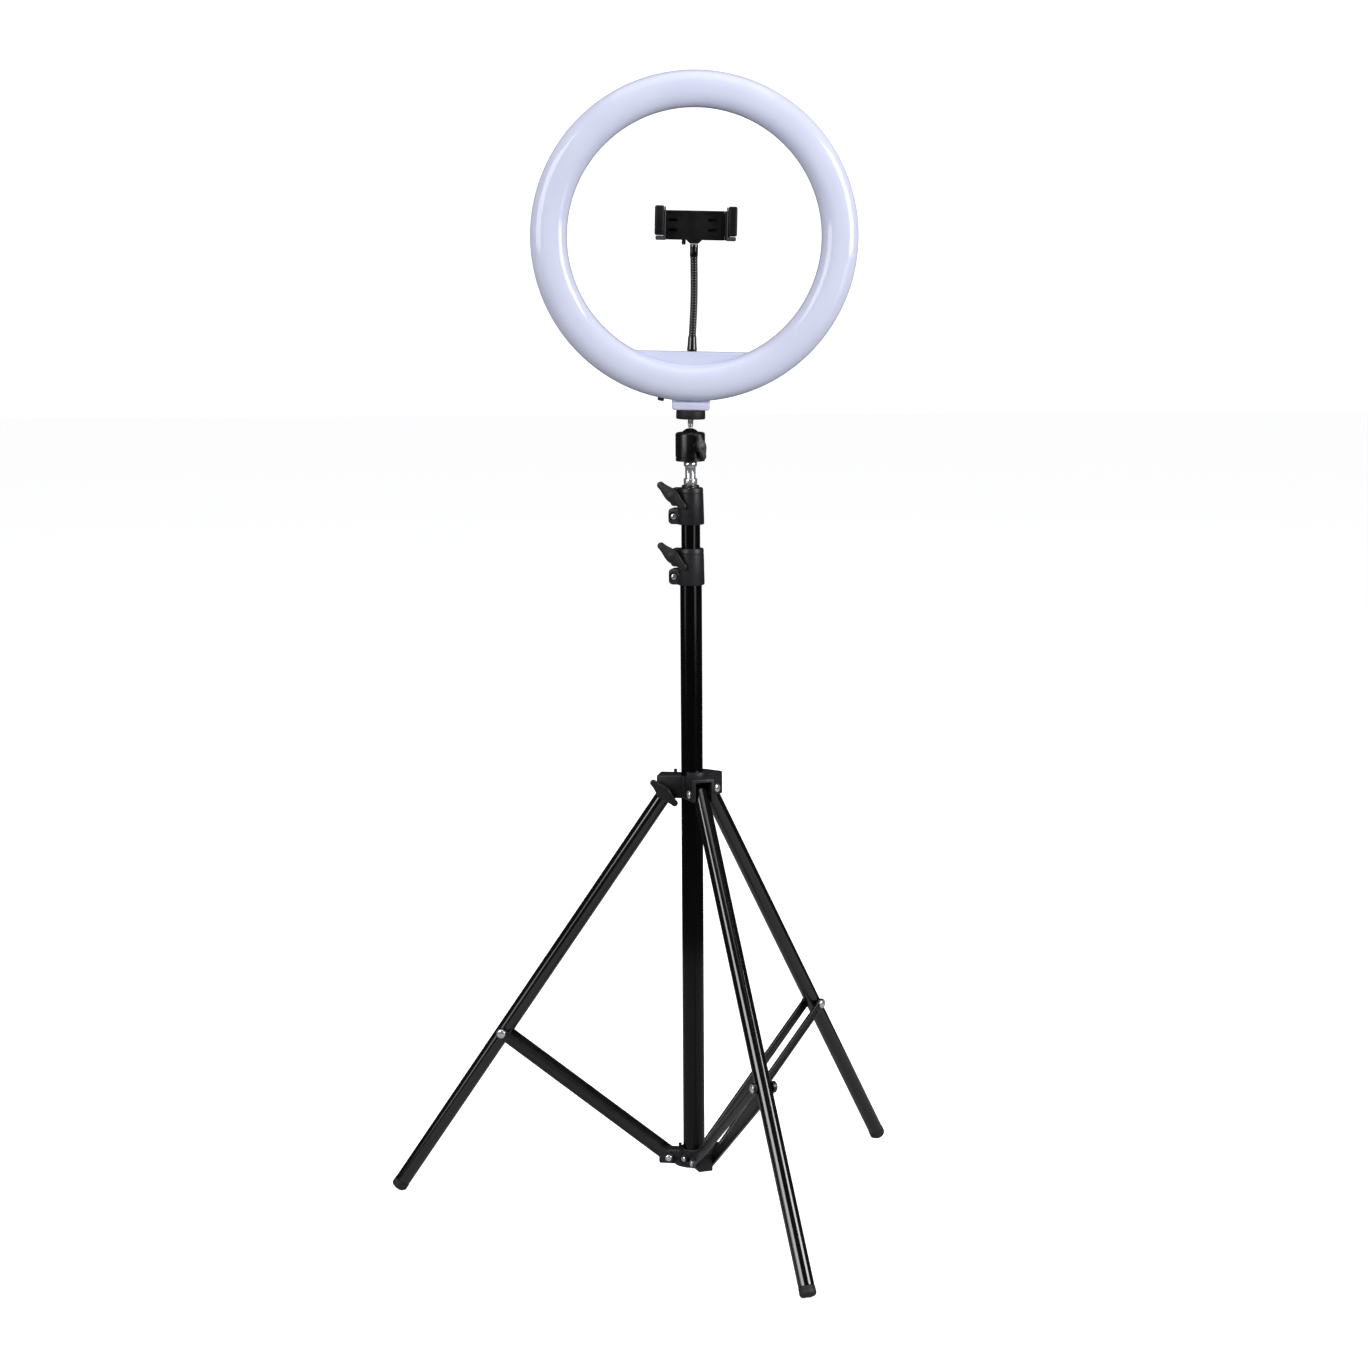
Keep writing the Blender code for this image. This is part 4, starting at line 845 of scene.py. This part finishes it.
softbox("key_left", -48, 2.6, 1.55, (0, 0, 1.1), 1.5, 1.5, 40)
softbox("side_right", 60, 2.5, 1.5, (0, 0, 1.1), 1.3, 1.6, 56)
softbox("low_left", -66, 2.4, 0.5, (0, 0, 0.6), 0.8, 0.4, 1.8)
softbox("low_right", 46, 2.4, 0.5, (0, 0, 0.6), 0.8, 0.4, 2.4)
softbox("overhead", 0, 0.6, 3.2, (0, 0, 0.5), 2.6, 2.6, 34)
softbox("rear_fill", 180, 3.0, 1.6, (0, 0, 0.7), 2.0, 2.0, 14).visible_glossy = False

# The backdrop's strength: as light, straight to the camera, and in reflections.
AMBIENT, BACKDROP, MIRRORED = 0.16, 1.2, 0.04
bpy.context.scene.view_settings.view_transform = "Standard"
world = bpy.data.worlds.new("studio")
bpy.context.scene.world = world
world.use_nodes = True
back = world.node_tree.nodes["Background"]
back.inputs["Color"].default_value = (0.96, 0.97, 1.0, 1)
path = world.node_tree.nodes.new("ShaderNodeLightPath")
seen = world.node_tree.nodes.new("ShaderNodeMapRange")
seen.inputs["To Min"].default_value = AMBIENT
seen.inputs["To Max"].default_value = BACKDROP
mirrored = world.node_tree.nodes.new("ShaderNodeMix")
mirrored.inputs["B"].default_value = MIRRORED
world.node_tree.links.new(path.outputs["Is Camera Ray"], seen.inputs["Value"])
world.node_tree.links.new(path.outputs["Is Glossy Ray"], mirrored.inputs["Factor"])
world.node_tree.links.new(seen.outputs["Result"], mirrored.inputs["A"])
world.node_tree.links.new(mirrored.outputs["Result"], back.inputs["Strength"])

CAMERA_BACK, CAMERA_UP = 3.180484, 1.000838
PITCH, YAW, ROLL = math.radians(8.188), math.radians(-0.137), math.radians(-0.325)
forward = Vector((math.sin(YAW) * math.cos(PITCH), math.cos(YAW) * math.cos(PITCH), -math.sin(PITCH)))
right = Vector((math.cos(YAW), -math.sin(YAW), 0))
up = right.cross(forward)
across = right * math.cos(ROLL) + up * math.sin(ROLL)
upward = up * math.cos(ROLL) - right * math.sin(ROLL)
lens = bpy.data.cameras.new("camera")
lens.lens = 83.694
lens.sensor_width = 36
lens.clip_end = 60
camera = bpy.data.objects.new("camera", lens)
bpy.context.scene.collection.objects.link(camera)
basis = Matrix((across, upward, -forward)).transposed().to_4x4()
camera.matrix_world = Matrix.Translation((STAND_X * MM, STAND_Y * MM - CAMERA_BACK, CAMERA_UP)) @ basis
bpy.context.scene.camera = camera
